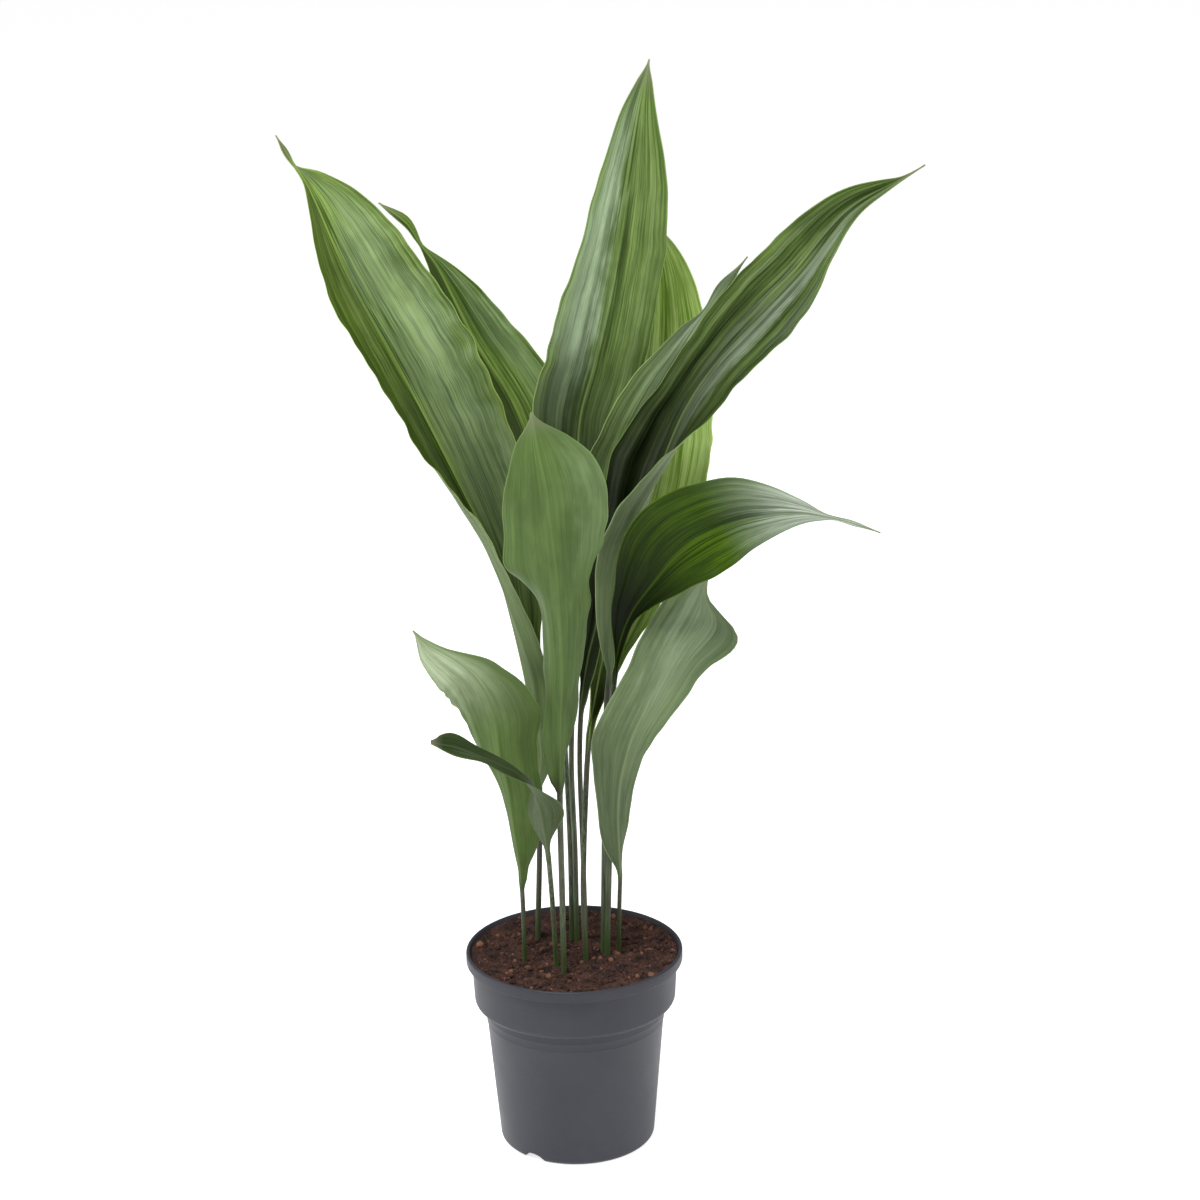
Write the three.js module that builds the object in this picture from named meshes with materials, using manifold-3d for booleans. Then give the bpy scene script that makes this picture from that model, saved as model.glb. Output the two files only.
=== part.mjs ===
// Potted cast iron plant: leaves on their own stalks, each in a plain hole in the soil of a nursery pot.
// Millimetres, +Z up, -Y towards the viewer. The origin is the middle of the pot's underside.
import * as THREE from "three";
import { mergeVertices } from "three/addons/utils/BufferGeometryUtils.js";
import Module from "manifold-3d";

const wasm = await Module();
wasm.setup();

// Driving dimensions of the pot
const RIM_RADIUS = 85;
const POT_HEIGHT = 159;
const WALL = 1.5;
const FIT_GAP = 0.3;
const FOOT_RADIUS = 56.7;
const CORNER_RADIUS = 4.5;
const CORNER_END_DEGREES = -5;
const BODY_RADIUS_AT_BASE = 60.7;
const BODY_TAPER = 0.088;
const STEP_LINES = [
  { z: 101, grow: 0.35 },
  { z: 108, grow: 0.35 },
];
const STEP_HALF_HEIGHT = 0.3;
const BODY_TOP = 115.2;
const BAND_EDGE_RADIUS = 4.9;
const BAND_EDGE_RISE = 0.6;
const COLLAR_RISE = 1;
const BAND_RADIUS_LOW = 79.1;
const BAND_RADIUS_HIGH = 80.7;
const LIP_BOTTOM = 149.6;
const LIP_ROUND = 1.6;
const LIP_BEVEL = 0.8;
const LIP_SHOULDER_FALL = 0.4;
const LIP_INSIDE_RADIUS = 82.4;
const FLARE_BOTTOM = 148.6;
const PAD_RADIUS = 38;
const PAD_THICKNESS = 1.8;
const CHANNEL_IN = 39.5;
const CHANNEL_OUT = 52.5;
const CHANNEL_HEIGHT = 5;
const FLOOR_TOP = 7.3;
const DRAIN_HOLES = 6;
const DRAIN_HOLE_RADIUS = 3.5;
const DRAIN_HOLE_SECTORS = 16;
const NOTCH_WIDTH = 20;
const NOTCH_HEIGHT = 6;
const NOTCH_DIRECTIONS = [-125, 55];
const NOTCH_SEGMENTS = 10;
const CUTTER_OVERREACH = 1;
const POT_SECTORS = 48;
const ARC_STEPS = 4;

// Driving dimensions of the soil
const SOIL_LEVEL = 152.6;
const SOIL_EDGE_LEVEL = 156;
const SOIL_SECTORS = 40;
const SOIL_RINGS = 8;
const SOIL_WALL_GAP = 0.45;
const SOIL_CLODS = [
  { height: 1.5, waveX: 0.071, waveY: 0.052, phase: 1.3 },
  { height: 1.1, waveX: -0.093, waveY: 0.121, phase: 0.4 },
  { height: 0.8, waveX: 0.205, waveY: 0.158, phase: 2.2 },
  { height: 0.6, waveX: -0.262, waveY: 0.237, phase: 4.1 },
];

// Driving dimensions that all the leaves share
const ROOT_DEPTH = 34;
const HOLE_REACH = 48;
const HOLE_CLEARANCE = 0.5;
const HOLE_EXTRA_DEPTH = 0.5;
const HOLE_STEPS = 4;
const HOLE_SIDES = 12;
const BLADE_THICKNESS = 0.7;
const RIB_THICKNESS = 2.6;
const RIB_HALF_WIDTH = 2.4;
const FOLD_AT_RIB = 0.55;
const FOLD_TO_MARGIN = 0.9;
const COLLAR_SHARE = 0.07;
const RIPPLE = 1.6;
const RIPPLE_PHASE_RIGHT = 2;
const RIPPLE_FADE_AT_TIP = [0.02, 0.25];
const COLUMNS = [-1, -0.64, -0.28, 0, 0.28, 0.64, 1];
const STALK_STATION_SPACING = 50;
const BLADE_STATIONS = 24;
const FRAME_STEPS = 160;
const LEAST_HALF_WIDTH = 0.5;
const STALK_FLATNESS = 0.94;

const LEAF_GREEN = 0x3f6b33;
const POT_GREY = 0x53565e;
const SOIL_BROWN = 0x3a2620;

// Each leaf: its middle line from the soil to the tip, the bare stalk's length and radius, the way its upper
// face looks at the soil (0 is towards the viewer, 90 to the right), and how often its margin ripples.
// widths: [share of the blade, half-width left of the rib, half-width right of it].
// pose: [share of the blade, twist about the rib, rise of the left half, rise of the right half], in degrees.
const LEAVES = [
  {
    name: "leaf_left_tall",
    spine: [
      [-29, 27, 152], [-26, 27, 231], [-25, 28, 298], [-31, 30, 355], [-43, 33, 418], [-57, 41, 469],
      [-83, 56, 525], [-125, 82, 607], [-165, 104, 679], [-194, 120, 745], [-206, 126, 762],
      [-217, 130, 781],
    ],
    stalk: 124,
    radius: 2.2,
    facing: 10,
    ripples: 5,
    widths: [
      [0, 2.2, 2.2], [0.012, 5, 4.5], [0.03, 9.5, 8], [0.058, 12.5, 9.5], [0.087, 14, 10], [0.14, 16, 11.5],
      [0.184, 21, 15], [0.228, 24, 20], [0.291, 27, 30], [0.378, 33, 44], [0.485, 38, 54], [0.573, 39, 59],
      [0.641, 38, 60], [0.733, 32, 56], [0.82, 22, 49], [0.883, 9, 34], [0.922, 2.5, 16], [0.942, 1.5, 4.5],
      [0.951, 1.3, 1.3], [0.978, 3.2, 3.2], [1, 0.6, 0.6],
    ],
    pose: [
      [0, 80, 70, 65], [0.165, 80, 78, 70], [0.213, 68, 65, 65], [0.291, 50, 56, 58], [0.378, 35, 57, 42],
      [0.485, 15, 51, 25], [0.573, 5, 55, 15], [0.641, 0, 50, 10], [0.733, -3, 46, 8], [0.82, -5, 40, 8],
      [0.874, -5, 30, 10], [0.937, 0, 10, 10], [1, 60, 0, 0],
    ],
  },
  {
    name: "leaf_left_behind",
    spine: [
      [-2, 30, 151], [-2, 36, 227], [-4, 46, 299], [-7, 60, 361], [-14, 78, 421], [-20, 104, 495],
      [-35, 124, 557], [-71, 144, 619], [-99, 158, 673], [-111, 163, 688], [-121, 166, 704],
      [-143, 168, 721],
    ],
    stalk: 237,
    radius: 2,
    facing: 10,
    ripples: 4,
    widths: [
      [0, 2, 2], [0.1, 10, 10], [0.2, 22, 22], [0.3, 30, 30], [0.4, 36, 37], [0.5, 38, 38], [0.6, 36, 34],
      [0.7, 30, 27], [0.78, 20, 17], [0.84, 9, 6], [0.875, 2, 2], [0.9, 2.5, 3], [0.94, 3.5, 5],
      [0.97, 2.5, 3], [1, 0.6, 0.6],
    ],
    pose: [
      [0, 0, 50, 50], [0.2, 0, 50, 50], [0.5, 0, 35, 15], [0.8, 0, 40, 5], [0.88, 0, 30, 5], [1, 10, 0, 0],
    ],
  },
  {
    name: "leaf_centre_tall",
    spine: [
      [2, 24, 154], [2, 26, 231], [0.5, 29, 305], [3, 33, 361], [6, 42, 432], [9, 56, 508], [12, 68, 568],
      [24, 76, 611], [35, 84, 659], [50, 94, 743], [62, 97, 808], [69, 98, 838],
    ],
    stalk: 257,
    radius: 2,
    facing: 0,
    ripples: 5,
    widths: [
      [0, 2, 2], [0.1, 12, 12], [0.2, 25, 25], [0.3, 34, 34], [0.4, 39, 37], [0.5, 38, 38], [0.6, 33, 38],
      [0.7, 26, 37], [0.8, 21, 31], [0.9, 14, 16], [0.96, 6, 7], [1, 0.6, 0.6],
    ],
    pose: [
      [0, 0, 45, 45], [0.2, 0, 35, 35], [0.35, 0, 20, 20], [0.5, 0, 15, 12], [0.8, 0, 12, 12],
      [1, 0, 15, 15],
    ],
  },
  {
    name: "leaf_back",
    spine: [
      [9, -11, 153], [8, -8, 198], [9, 0, 241], [11, 14, 277], [13, 26, 306], [16, 38, 331], [21, 50, 355],
      [27, 62, 380], [34, 74, 405], [42, 85, 434], [50, 98, 472], [62, 122, 529], [72, 142, 589],
      [76, 152, 643], [74, 158, 678], [70, 160, 703],
    ],
    stalk: 165,
    radius: 2.2,
    facing: 0,
    ripples: 4,
    widths: [
      [0, 2.2, 2.2], [0.05, 4, 5], [0.1, 7, 9], [0.17, 12, 20], [0.23, 17, 30], [0.29, 22, 38],
      [0.35, 28, 43], [0.43, 38, 49], [0.51, 44, 54], [0.59, 46, 54], [0.68, 44, 48], [0.76, 40, 43],
      [0.84, 32, 35], [0.92, 20, 24], [0.967, 10, 13], [1, 0.6, 0.6],
    ],
    pose: [
      [0, 0, 60, 60], [0.1, 0, 50, 45], [0.2, 0, 38, 32], [0.35, 0, 25, 25], [0.6, 0, 15, 15],
      [0.85, 0, 15, 15], [1, 0, 20, 20],
    ],
  },
  {
    name: "leaf_right_tall",
    spine: [
      [23, 4, 152], [25, 6, 238], [27, 7, 313], [29, 8, 361], [33, 8, 394], [45, 7, 452], [58, 7, 506],
      [75, 9, 551], [91, 12, 588], [112, 17, 619], [153, 26, 660], [178, 33, 684], [217, 46, 728],
      [246, 54, 746], [273, 60, 761],
    ],
    stalk: 218,
    radius: 2.3,
    facing: -20,
    ripples: 5,
    widths: [
      [0, 2.3, 2.3], [0.06, 6, 9], [0.12, 13, 20], [0.2, 24, 31], [0.28, 34, 35], [0.36, 39, 38],
      [0.43, 33, 38], [0.49, 26, 36], [0.55, 27, 35], [0.62, 32, 33], [0.7, 34, 26], [0.8, 29, 12],
      [0.87, 19, 5], [0.93, 8, 2.5], [0.96, 2, 1.5], [1, 0.6, 0.6],
    ],
    pose: [
      [0, -70, 75, 70], [0.1, -68, 75, 75], [0.25, -55, 50, 72], [0.4, -22, 30, 55], [0.5, -8, 25, 38],
      [0.7, 0, 15, 25], [0.85, 0, 15, 15], [1, 0, 20, 20],
    ],
  },
  {
    name: "leaf_right_behind",
    spine: [
      [9, 28, 152], [8, 31, 230], [7, 33, 305], [9, 34, 345], [15, 35, 385], [23, 34, 418], [36, 33, 490],
      [52, 38, 551], [69, 47, 588], [92, 54, 625], [119, 64, 667], [141, 72, 692],
    ],
    stalk: 190,
    radius: 2,
    facing: -10,
    ripples: 4,
    widths: [
      [0, 2, 2], [0.04, 3, 6], [0.1, 8, 10], [0.2, 18, 13], [0.33, 29, 15], [0.43, 32, 19], [0.52, 32, 23],
      [0.62, 28, 26], [0.71, 21, 25], [0.81, 12, 13], [0.865, 3, 3], [0.93, 5, 5], [1, 0.6, 0.6],
    ],
    pose: [
      [0, -20, 60, 30], [0.1, -15, 50, 35], [0.23, -10, 40, 40], [0.43, 5, 15, 20], [0.62, 10, 15, 15],
      [0.86, 0, 15, 15], [1, 60, 20, 20],
    ],
  },
  {
    name: "leaf_right_arching",
    spine: [
      [26, -3, 155], [29, -2, 242], [31, -1, 316], [34, -3, 373], [39, -8, 411], [49, -14, 439],
      [64, -20, 462], [81, -26, 484], [101, -32, 501], [126, -38, 514], [149, -42, 520], [174, -46, 523],
      [196, -48, 520], [216, -50, 515], [232, -52, 509],
    ],
    stalk: 224,
    radius: 2.2,
    facing: 0,
    ripples: 4,
    widths: [
      [0, 2.2, 2.2], [0.06, 3, 3.5], [0.12, 6, 5], [0.2, 15, 8], [0.3, 30, 15], [0.4, 43, 25],
      [0.5, 46, 30], [0.6, 40, 26], [0.7, 26, 17], [0.78, 13, 9], [0.84, 4, 4], [0.88, 1.8, 1.8],
      [0.93, 2.6, 2.6], [1, 0.6, 0.6],
    ],
    pose: [[0, 0, 50, 60], [0.2, -10, 30, 45], [0.5, -15, 15, 15], [0.8, -20, 10, 10], [1, 30, 20, 20]],
  },
  {
    name: "leaf_right_low",
    spine: [
      [35, 7, 153], [36, -3, 196], [37, -13, 229], [36, -24, 279], [39, -28, 312], [47, -31, 343],
      [60, -29, 371], [72, -23, 394], [83, -14, 413], [95, -4, 431], [102, 4, 444], [106, 10, 458],
    ],
    stalk: 66,
    radius: 1.7,
    facing: 180,
    ripples: 3,
    widths: [
      [0, 1.7, 1.7], [0.05, 2.4, 3], [0.1, 5, 8.5], [0.16, 8, 13], [0.25, 10, 16], [0.35, 13, 21],
      [0.45, 16, 28], [0.55, 19, 28], [0.65, 24, 26], [0.75, 29, 27], [0.82, 36, 27], [0.87, 41, 26],
      [0.9, 38, 25], [0.915, 29, 24.5], [0.93, 14, 22.5], [0.945, 6, 20], [0.965, 3, 17], [1, 2, 8],
    ],
    pose: [[0, 0, 60, 5], [0.2, 0, 40, 5], [0.5, 0, 15, 5], [0.8, 0, 5, 5], [1, 0, 10, 10]],
  },
  {
    name: "leaf_front",
    spine: [
      [-8, -31, 154], [-8, -33, 188], [-8, -37, 223], [-8, -45, 300], [-6, -55, 368], [-4, -62, 405],
      [-4, -68, 443], [-6, -76, 481], [-9, -82, 518], [-12, -84, 553], [-18, -80, 586], [-22, -74, 610],
    ],
    stalk: 153,
    radius: 2.3,
    facing: 180,
    ripples: 4,
    widths: [
      [0, 2.3, 2.3], [0.03, 4, 8], [0.06, 7, 14], [0.1, 10, 17], [0.15, 14, 19], [0.2, 18, 20],
      [0.3, 25, 25], [0.4, 30, 30], [0.5, 34, 36], [0.6, 37, 39], [0.7, 41, 39], [0.8, 44, 34],
      [0.87, 38, 26], [0.93, 24, 17], [1, 1, 1],
    ],
    pose: [
      [0, 0, 60, 50], [0.1, 0, 56, 45], [0.2, 0, 52, 50], [0.4, 0, 53, 62], [0.5, 0, 50, 56],
      [0.6, 0, 36, 24], [0.7, 0, 18, 20], [0.85, 0, 10, 15], [1, 0, 20, 20],
    ],
  },
  {
    name: "leaf_left_low",
    spine: [
      [-39, -7, 153], [-39, -11, 196], [-40, -16, 228], [-44, -22, 268], [-48, -29, 306], [-53, -35, 334],
      [-54, -40, 352], [-56, -43, 368], [-59.5, -45, 382], [-65, -47, 394], [-72, -48, 404], [-80.5, -48, 412],
      [-91, -47, 419], [-102, -45, 425], [-109, -43, 430], [-115, -41, 436],
    ],
    stalk: 62,
    radius: 1.8,
    facing: 180,
    ripples: 3,
    widths: [
      [0, 1.8, 1.8], [0.04, 6, 3], [0.1, 17, 8], [0.2, 22.5, 14], [0.3, 25, 20], [0.4, 27, 24],
      [0.47, 29, 28], [0.53, 30, 32], [0.57, 33, 34], [0.6, 35, 36], [0.64, 33, 37], [0.68, 29, 36.5],
      [0.73, 22, 34], [0.77, 18, 31.5], [0.81, 12, 30], [0.84, 8, 29], [0.88, 4.5, 26], [0.91, 3.5, 22],
      [0.94, 3, 15], [0.96, 2, 8], [0.98, 1.3, 2.5], [1, 0.6, 0.6],
    ],
    pose: [
      [0, 0, 50, 80], [0.2, 0, 20, 85], [0.3, 0, 12, 76], [0.4, 0, 10, 62], [0.47, 0, 12, 52],
      [0.57, 0, 15, 40], [0.68, 0, 20, 28], [0.76, 0, 25, 20], [0.85, 0, 25, 15], [1, 0, 20, 15],
    ],
  },
  {
    name: "leaf_folded_small",
    spine: [
      [-14, -19, 153], [-15, -24, 185], [-16, -34, 218], [-17, -44, 243], [-18, -50, 262], [-20, -55, 281],
      [-23, -59, 300], [-28, -62, 315], [-38, -64, 328], [-52, -67, 338], [-68, -71, 347], [-83, -76, 355],
      [-102, -82, 362],
    ],
    stalk: 102,
    radius: 1.9,
    facing: 180,
    ripples: 3,
    widths: [
      [0, 1.9, 1.9], [0.06, 2.5, 5], [0.12, 5, 11], [0.2, 11, 20], [0.28, 17, 26], [0.34, 19, 25],
      [0.4, 16, 17], [0.46, 12, 10], [0.55, 9, 6], [0.65, 9, 6], [0.75, 10, 9], [0.84, 10, 13],
      [0.9, 9, 13], [0.95, 6, 9], [1, 2, 2],
    ],
    pose: [
      [0, -15, 60, 55], [0.15, -20, 45, 40], [0.25, -30, 35, 30], [0.35, -50, 25, 25], [0.45, -75, 15, 20],
      [0.6, -92, 8, 12], [0.8, -98, 8, 10], [1, -100, 5, 5],
    ],
  },
];

const radians = THREE.MathUtils.degToRad;
const smoothstep = THREE.MathUtils.smoothstep;
const lerp = THREE.MathUtils.lerp;

// The values of a key list at a share, on a smooth curve through its keys.
function along(keys, share) {
  const last = keys.length - 1;
  if (share <= keys[0][0]) return keys[0].slice(1);
  if (share >= keys[last][0]) return keys[last].slice(1);
  const k = keys.findIndex((key) => key[0] > share) - 1;
  const span = keys[k + 1][0] - keys[k][0];
  const u = (share - keys[k][0]) / span;
  const slope = (n, c) => {
    if (n === 0 || n === last) return 0;
    return (keys[n + 1][c] - keys[n - 1][c]) / (keys[n + 1][0] - keys[n - 1][0]);
  };
  return keys[k].slice(1).map((start, i) => {
    const end = keys[k + 1][i + 1];
    const rise = (3 - 2 * u) * u * u;
    return (
      start * (1 - rise) +
      end * rise +
      slope(k, i + 1) * span * u * (1 - u) * (1 - u) -
      slope(k + 1, i + 1) * span * u * u * (1 - u)
    );
  });
}

// The middle line from the buried end to the tip, with the upper face's direction carried along it untwisted.
function middleLine(leaf) {
  const [x, y, z] = leaf.spine[0];
  const points = [[x, y, z - ROOT_DEPTH], ...leaf.spine].map((p) => new THREE.Vector3(...p));
  const curve = new THREE.CatmullRomCurve3(points, false, "centripetal");
  const turn = radians(leaf.facing);
  const up = new THREE.Vector3(Math.sin(turn), -Math.cos(turn), 0);
  const steps = [];
  for (let i = 0; i <= FRAME_STEPS; i++) {
    const tangent = curve.getTangentAt(i / FRAME_STEPS);
    up.addScaledVector(tangent, -up.dot(tangent)).normalize();
    steps.push({ point: curve.getPointAt(i / FRAME_STEPS), tangent, up: up.clone() });
  }
  return { steps, length: curve.getLength() };
}

function stepAt(line, distance) {
  const place = Math.min(Math.max(distance / line.length, 0), 1) * FRAME_STEPS;
  const i = Math.min(Math.floor(place), FRAME_STEPS - 1);
  const a = line.steps[i];
  const b = line.steps[i + 1];
  const tangent = a.tangent.clone().lerp(b.tangent, place - i).normalize();
  const up = a.up.clone().lerp(b.up, place - i);
  up.addScaledVector(tangent, -up.dot(tangent)).normalize();
  return { point: a.point.clone().lerp(b.point, place - i), tangent, up };
}

// Thickness at a distance from the rib: round on the stalk, a thin sheet with a raised rib on the blade.
function thickness(leaf, share, v, halfWidth) {
  const round = 2 * leaf.radius * Math.sqrt(1 - (STALK_FLATNESS * v) ** 2);
  const rib = lerp(RIB_THICKNESS, BLADE_THICKNESS, Math.max(share, 0)) - BLADE_THICKNESS;
  const fromRib = (v * halfWidth) / RIB_HALF_WIDTH;
  const sheet = BLADE_THICKNESS + rib * Math.exp(-fromRib * fromRib);
  return lerp(round, sheet, smoothstep(share, 0, COLLAR_SHARE));
}

// Where a point of a half blade lies, across from the rib and above it, and how far the sheet slants there.
// A half starts at the rib with a part of its rise and bends up further towards the margin.
function bentHalf(rise, v, halfWidth) {
  const start = rise * FOLD_AT_RIB;
  const bend = rise * FOLD_TO_MARGIN;
  if (v === 0 || bend < 1e-4) return [v * halfWidth, 0, 0];
  const end = start + bend * Math.abs(v);
  const across = (halfWidth * (Math.sin(end) - Math.sin(start))) / bend;
  const raised = (halfWidth * (Math.cos(start) - Math.cos(end))) / bend;
  return [Math.sign(v) * across, raised, Math.sign(v) * end];
}

// One cross-section: the points of the upper face and of the lower face, from the left margin to the right.
function section(leaf, line, distance) {
  const bladeStart = ROOT_DEPTH + leaf.stalk;
  const share = (distance - bladeStart) / (line.length - bladeStart);
  const { point, tangent, up } = stepAt(line, distance);
  const [twist, leftRise, rightRise] = along(leaf.pose, share);
  const [left, right] = along(leaf.widths, share);
  up.applyAxisAngle(tangent, radians(twist));
  const side = new THREE.Vector3().crossVectors(tangent, up);
  const opened = smoothstep(share, 0, COLLAR_SHARE);
  const ripple = RIPPLE * opened * smoothstep(1 - share, ...RIPPLE_FADE_AT_TIP);
  const upper = [];
  const lower = [];
  for (const v of COLUMNS) {
    const halfWidth = Math.max(v < 0 ? left : right, LEAST_HALF_WIDTH);
    const rise = radians(v < 0 ? leftRise : rightRise) * opened;
    const [across, raised, slant] = bentHalf(rise, v, halfWidth);
    const normal = up.clone().applyAxisAngle(tangent, -slant);
    const phase = leaf.ripples * 2 * Math.PI * share + (v < 0 ? 0 : RIPPLE_PHASE_RIGHT);
    const wave = ripple * v * v * Math.sin(phase);
    const middle = point
      .clone()
      .addScaledVector(side, across)
      .addScaledVector(up, raised)
      .addScaledVector(normal, wave);
    const half = thickness(leaf, share, v, halfWidth) / 2;
    upper.push(middle.clone().addScaledVector(normal, half));
    lower.push(middle.clone().addScaledVector(normal, -half));
  }
  return [...upper, ...lower];
}

// A closed skin over cross-sections, with both faces split into triangles alike.
function skin(sections) {
  const count = COLUMNS.length;
  const positions = sections.flat().flatMap((p) => [p.x, p.y, p.z]);
  const index = [];
  const upper = (i, j) => i * count * 2 + j;
  const lower = (i, j) => i * count * 2 + count + j;
  const end = sections.length - 1;
  for (let i = 0; i < end; i++) {
    for (let j = 0; j < count - 1; j++) {
      index.push(upper(i, j), upper(i, j + 1), upper(i + 1, j + 1));
      index.push(upper(i, j), upper(i + 1, j + 1), upper(i + 1, j));
      index.push(lower(i, j), lower(i + 1, j + 1), lower(i, j + 1));
      index.push(lower(i, j), lower(i + 1, j), lower(i + 1, j + 1));
    }
    const right = count - 1;
    index.push(lower(i, 0), upper(i, 0), upper(i + 1, 0));
    index.push(lower(i, 0), upper(i + 1, 0), lower(i + 1, 0));
    index.push(lower(i, right), lower(i + 1, right), upper(i + 1, right));
    index.push(lower(i, right), upper(i + 1, right), upper(i, right));
  }
  for (let j = 0; j < count - 1; j++) {
    index.push(upper(0, j), lower(0, j), lower(0, j + 1));
    index.push(upper(0, j), lower(0, j + 1), upper(0, j + 1));
    index.push(upper(end, j), lower(end, j + 1), lower(end, j));
    index.push(upper(end, j), upper(end, j + 1), lower(end, j + 1));
  }
  const geometry = new THREE.BufferGeometry();
  geometry.setAttribute("position", new THREE.Float32BufferAttribute(positions, 3));
  geometry.setIndex(index);
  return geometry;
}

function leafGeometry(leaf) {
  const line = middleLine(leaf);
  const bladeStart = ROOT_DEPTH + leaf.stalk;
  const bare = bladeStart - HOLE_REACH;
  const stalkStations = Math.max(2, Math.round(bare / STALK_STATION_SPACING));
  const sections = [];
  for (let i = 0; i < HOLE_STEPS; i++) sections.push(section(leaf, line, (HOLE_REACH * i) / HOLE_STEPS));
  for (let i = 0; i < stalkStations; i++) {
    sections.push(section(leaf, line, HOLE_REACH + (bare * i) / stalkStations));
  }
  for (let i = 0; i <= BLADE_STATIONS; i++) {
    sections.push(section(leaf, line, lerp(bladeStart, line.length, i / BLADE_STATIONS)));
  }
  return skin(sections);
}

// The hole that a stalk stands in: a tube round the buried stretch, open above the soil.
function stalkHole(leaf) {
  const line = middleLine(leaf);
  const path = [];
  for (let i = 0; i <= HOLE_STEPS; i++) path.push(stepAt(line, (HOLE_REACH * i) / HOLE_STEPS).point);
  path[0].z -= HOLE_EXTRA_DEPTH;
  const outline = new THREE.Shape();
  outline.absarc(0, 0, leaf.radius + HOLE_CLEARANCE, 0, Math.PI * 2, false);
  const extrudePath = new THREE.CatmullRomCurve3(path, false, "centripetal");
  const curveSegments = HOLE_SIDES / 2;
  return new THREE.ExtrudeGeometry(outline, { steps: HOLE_STEPS, curveSegments, extrudePath });
}

// Points on an arc of a turned outline, as [radius, height].
function arc(radius, centreR, centreZ, fromDegrees, toDegrees) {
  const points = [];
  for (let i = 0; i <= ARC_STEPS; i++) {
    const a = radians(lerp(fromDegrees, toDegrees, i / ARC_STEPS));
    points.push([centreR + radius * Math.cos(a), centreZ + radius * Math.sin(a)]);
  }
  return points;
}

const bodyRadius = (z) => BODY_RADIUS_AT_BASE + BODY_TAPER * z;

// The pot's inner radius where its wall flares out to the lip.
function flareRadius(z) {
  const top = POT_HEIGHT - LIP_SHOULDER_FALL;
  const below = BAND_RADIUS_HIGH - WALL;
  return below + ((LIP_INSIDE_RADIUS - below) * (z - FLARE_BOTTOM)) / (top - FLARE_BOTTOM);
}

// The pot's inside, from the middle of its floor up to the lip, moved in by a gap.
function insideOutline(gap) {
  const steps = STEP_LINES.reduce((sum, line) => sum + line.grow, 0);
  const padEdge = PAD_RADIUS - PAD_THICKNESS;
  const padStep = ((FLOOR_TOP - PAD_THICKNESS) * (CHANNEL_IN - PAD_RADIUS)) / CHANNEL_HEIGHT;
  const cornerR = bodyRadius(FLOOR_TOP) - WALL - CORNER_RADIUS - gap;
  return [
    [0, PAD_THICKNESS + gap],
    [padEdge - gap, PAD_THICKNESS + gap],
    [padEdge + padStep - gap, FLOOR_TOP + gap],
    ...arc(CORNER_RADIUS, cornerR, FLOOR_TOP + CORNER_RADIUS + gap, -90, 0),
    [bodyRadius(STEP_LINES[0].z) - WALL - gap, STEP_LINES[0].z],
    [bodyRadius(BODY_TOP) + steps - WALL - gap, BODY_TOP + WALL],
    [BAND_RADIUS_LOW - WALL - BAND_EDGE_RADIUS - gap, BODY_TOP + WALL + COLLAR_RISE],
    [BAND_RADIUS_LOW - WALL - gap, BODY_TOP + WALL + BAND_EDGE_RADIUS + BAND_EDGE_RISE],
  ];
}

function potOutline() {
  const outline = [
    [0, 0],
    [PAD_RADIUS, 0],
    [CHANNEL_IN, CHANNEL_HEIGHT],
    [CHANNEL_OUT, CHANNEL_HEIGHT],
    [CHANNEL_OUT + CHANNEL_IN - PAD_RADIUS, 0],
    ...arc(CORNER_RADIUS, FOOT_RADIUS, CORNER_RADIUS, -90, CORNER_END_DEGREES),
  ];
  let grown = 0;
  for (const line of STEP_LINES) {
    outline.push([bodyRadius(line.z) + grown, line.z - STEP_HALF_HEIGHT]);
    grown += line.grow;
    outline.push([bodyRadius(line.z) + grown, line.z + STEP_HALF_HEIGHT]);
  }
  const bandEdgeZ = BODY_TOP + BAND_EDGE_RADIUS + BAND_EDGE_RISE;
  const lipRadius = RIM_RADIUS - LIP_ROUND;
  return [
    ...outline,
    [bodyRadius(BODY_TOP) + grown, BODY_TOP],
    ...arc(BAND_EDGE_RADIUS, BAND_RADIUS_LOW - BAND_EDGE_RADIUS, bandEdgeZ, -90, 0),
    [BAND_RADIUS_HIGH, LIP_BOTTOM],
    [RIM_RADIUS - LIP_BEVEL, LIP_BOTTOM + LIP_BEVEL],
    [RIM_RADIUS, LIP_BOTTOM + 2 * LIP_BEVEL],
    ...arc(LIP_ROUND, lipRadius, POT_HEIGHT - LIP_ROUND, 0, 90),
    [LIP_INSIDE_RADIUS, POT_HEIGHT - LIP_SHOULDER_FALL],
    [flareRadius(FLARE_BOTTOM), FLARE_BOTTOM],
    ...insideOutline(0).reverse(),
  ];
}

function turned(outline, sectors) {
  const geometry = new THREE.LatheGeometry(outline.map(([r, z]) => new THREE.Vector2(r, z)), sectors);
  return geometry.rotateX(Math.PI / 2);
}

function solid(geometry) {
  const bare = new THREE.BufferGeometry();
  bare.setAttribute("position", geometry.getAttribute("position"));
  bare.setIndex(geometry.getIndex());
  const merged = mergeVertices(bare, 1e-4);
  const corners = merged.getIndex().array;
  const kept = [];
  for (let i = 0; i < corners.length; i += 3) {
    const [a, b, c] = [corners[i], corners[i + 1], corners[i + 2]];
    if (a !== b && b !== c && c !== a) kept.push(a, b, c);
  }
  const vertProperties = new Float32Array(merged.getAttribute("position").array);
  return new wasm.Manifold(new wasm.Mesh({ numProp: 3, vertProperties, triVerts: new Uint32Array(kept) }));
}

function geometryOf(manifold) {
  const mesh = manifold.getMesh();
  const geometry = new THREE.BufferGeometry();
  geometry.setAttribute("position", new THREE.Float32BufferAttribute(mesh.vertProperties, 3));
  geometry.setIndex([...mesh.triVerts]);
  return geometry;
}

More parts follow.
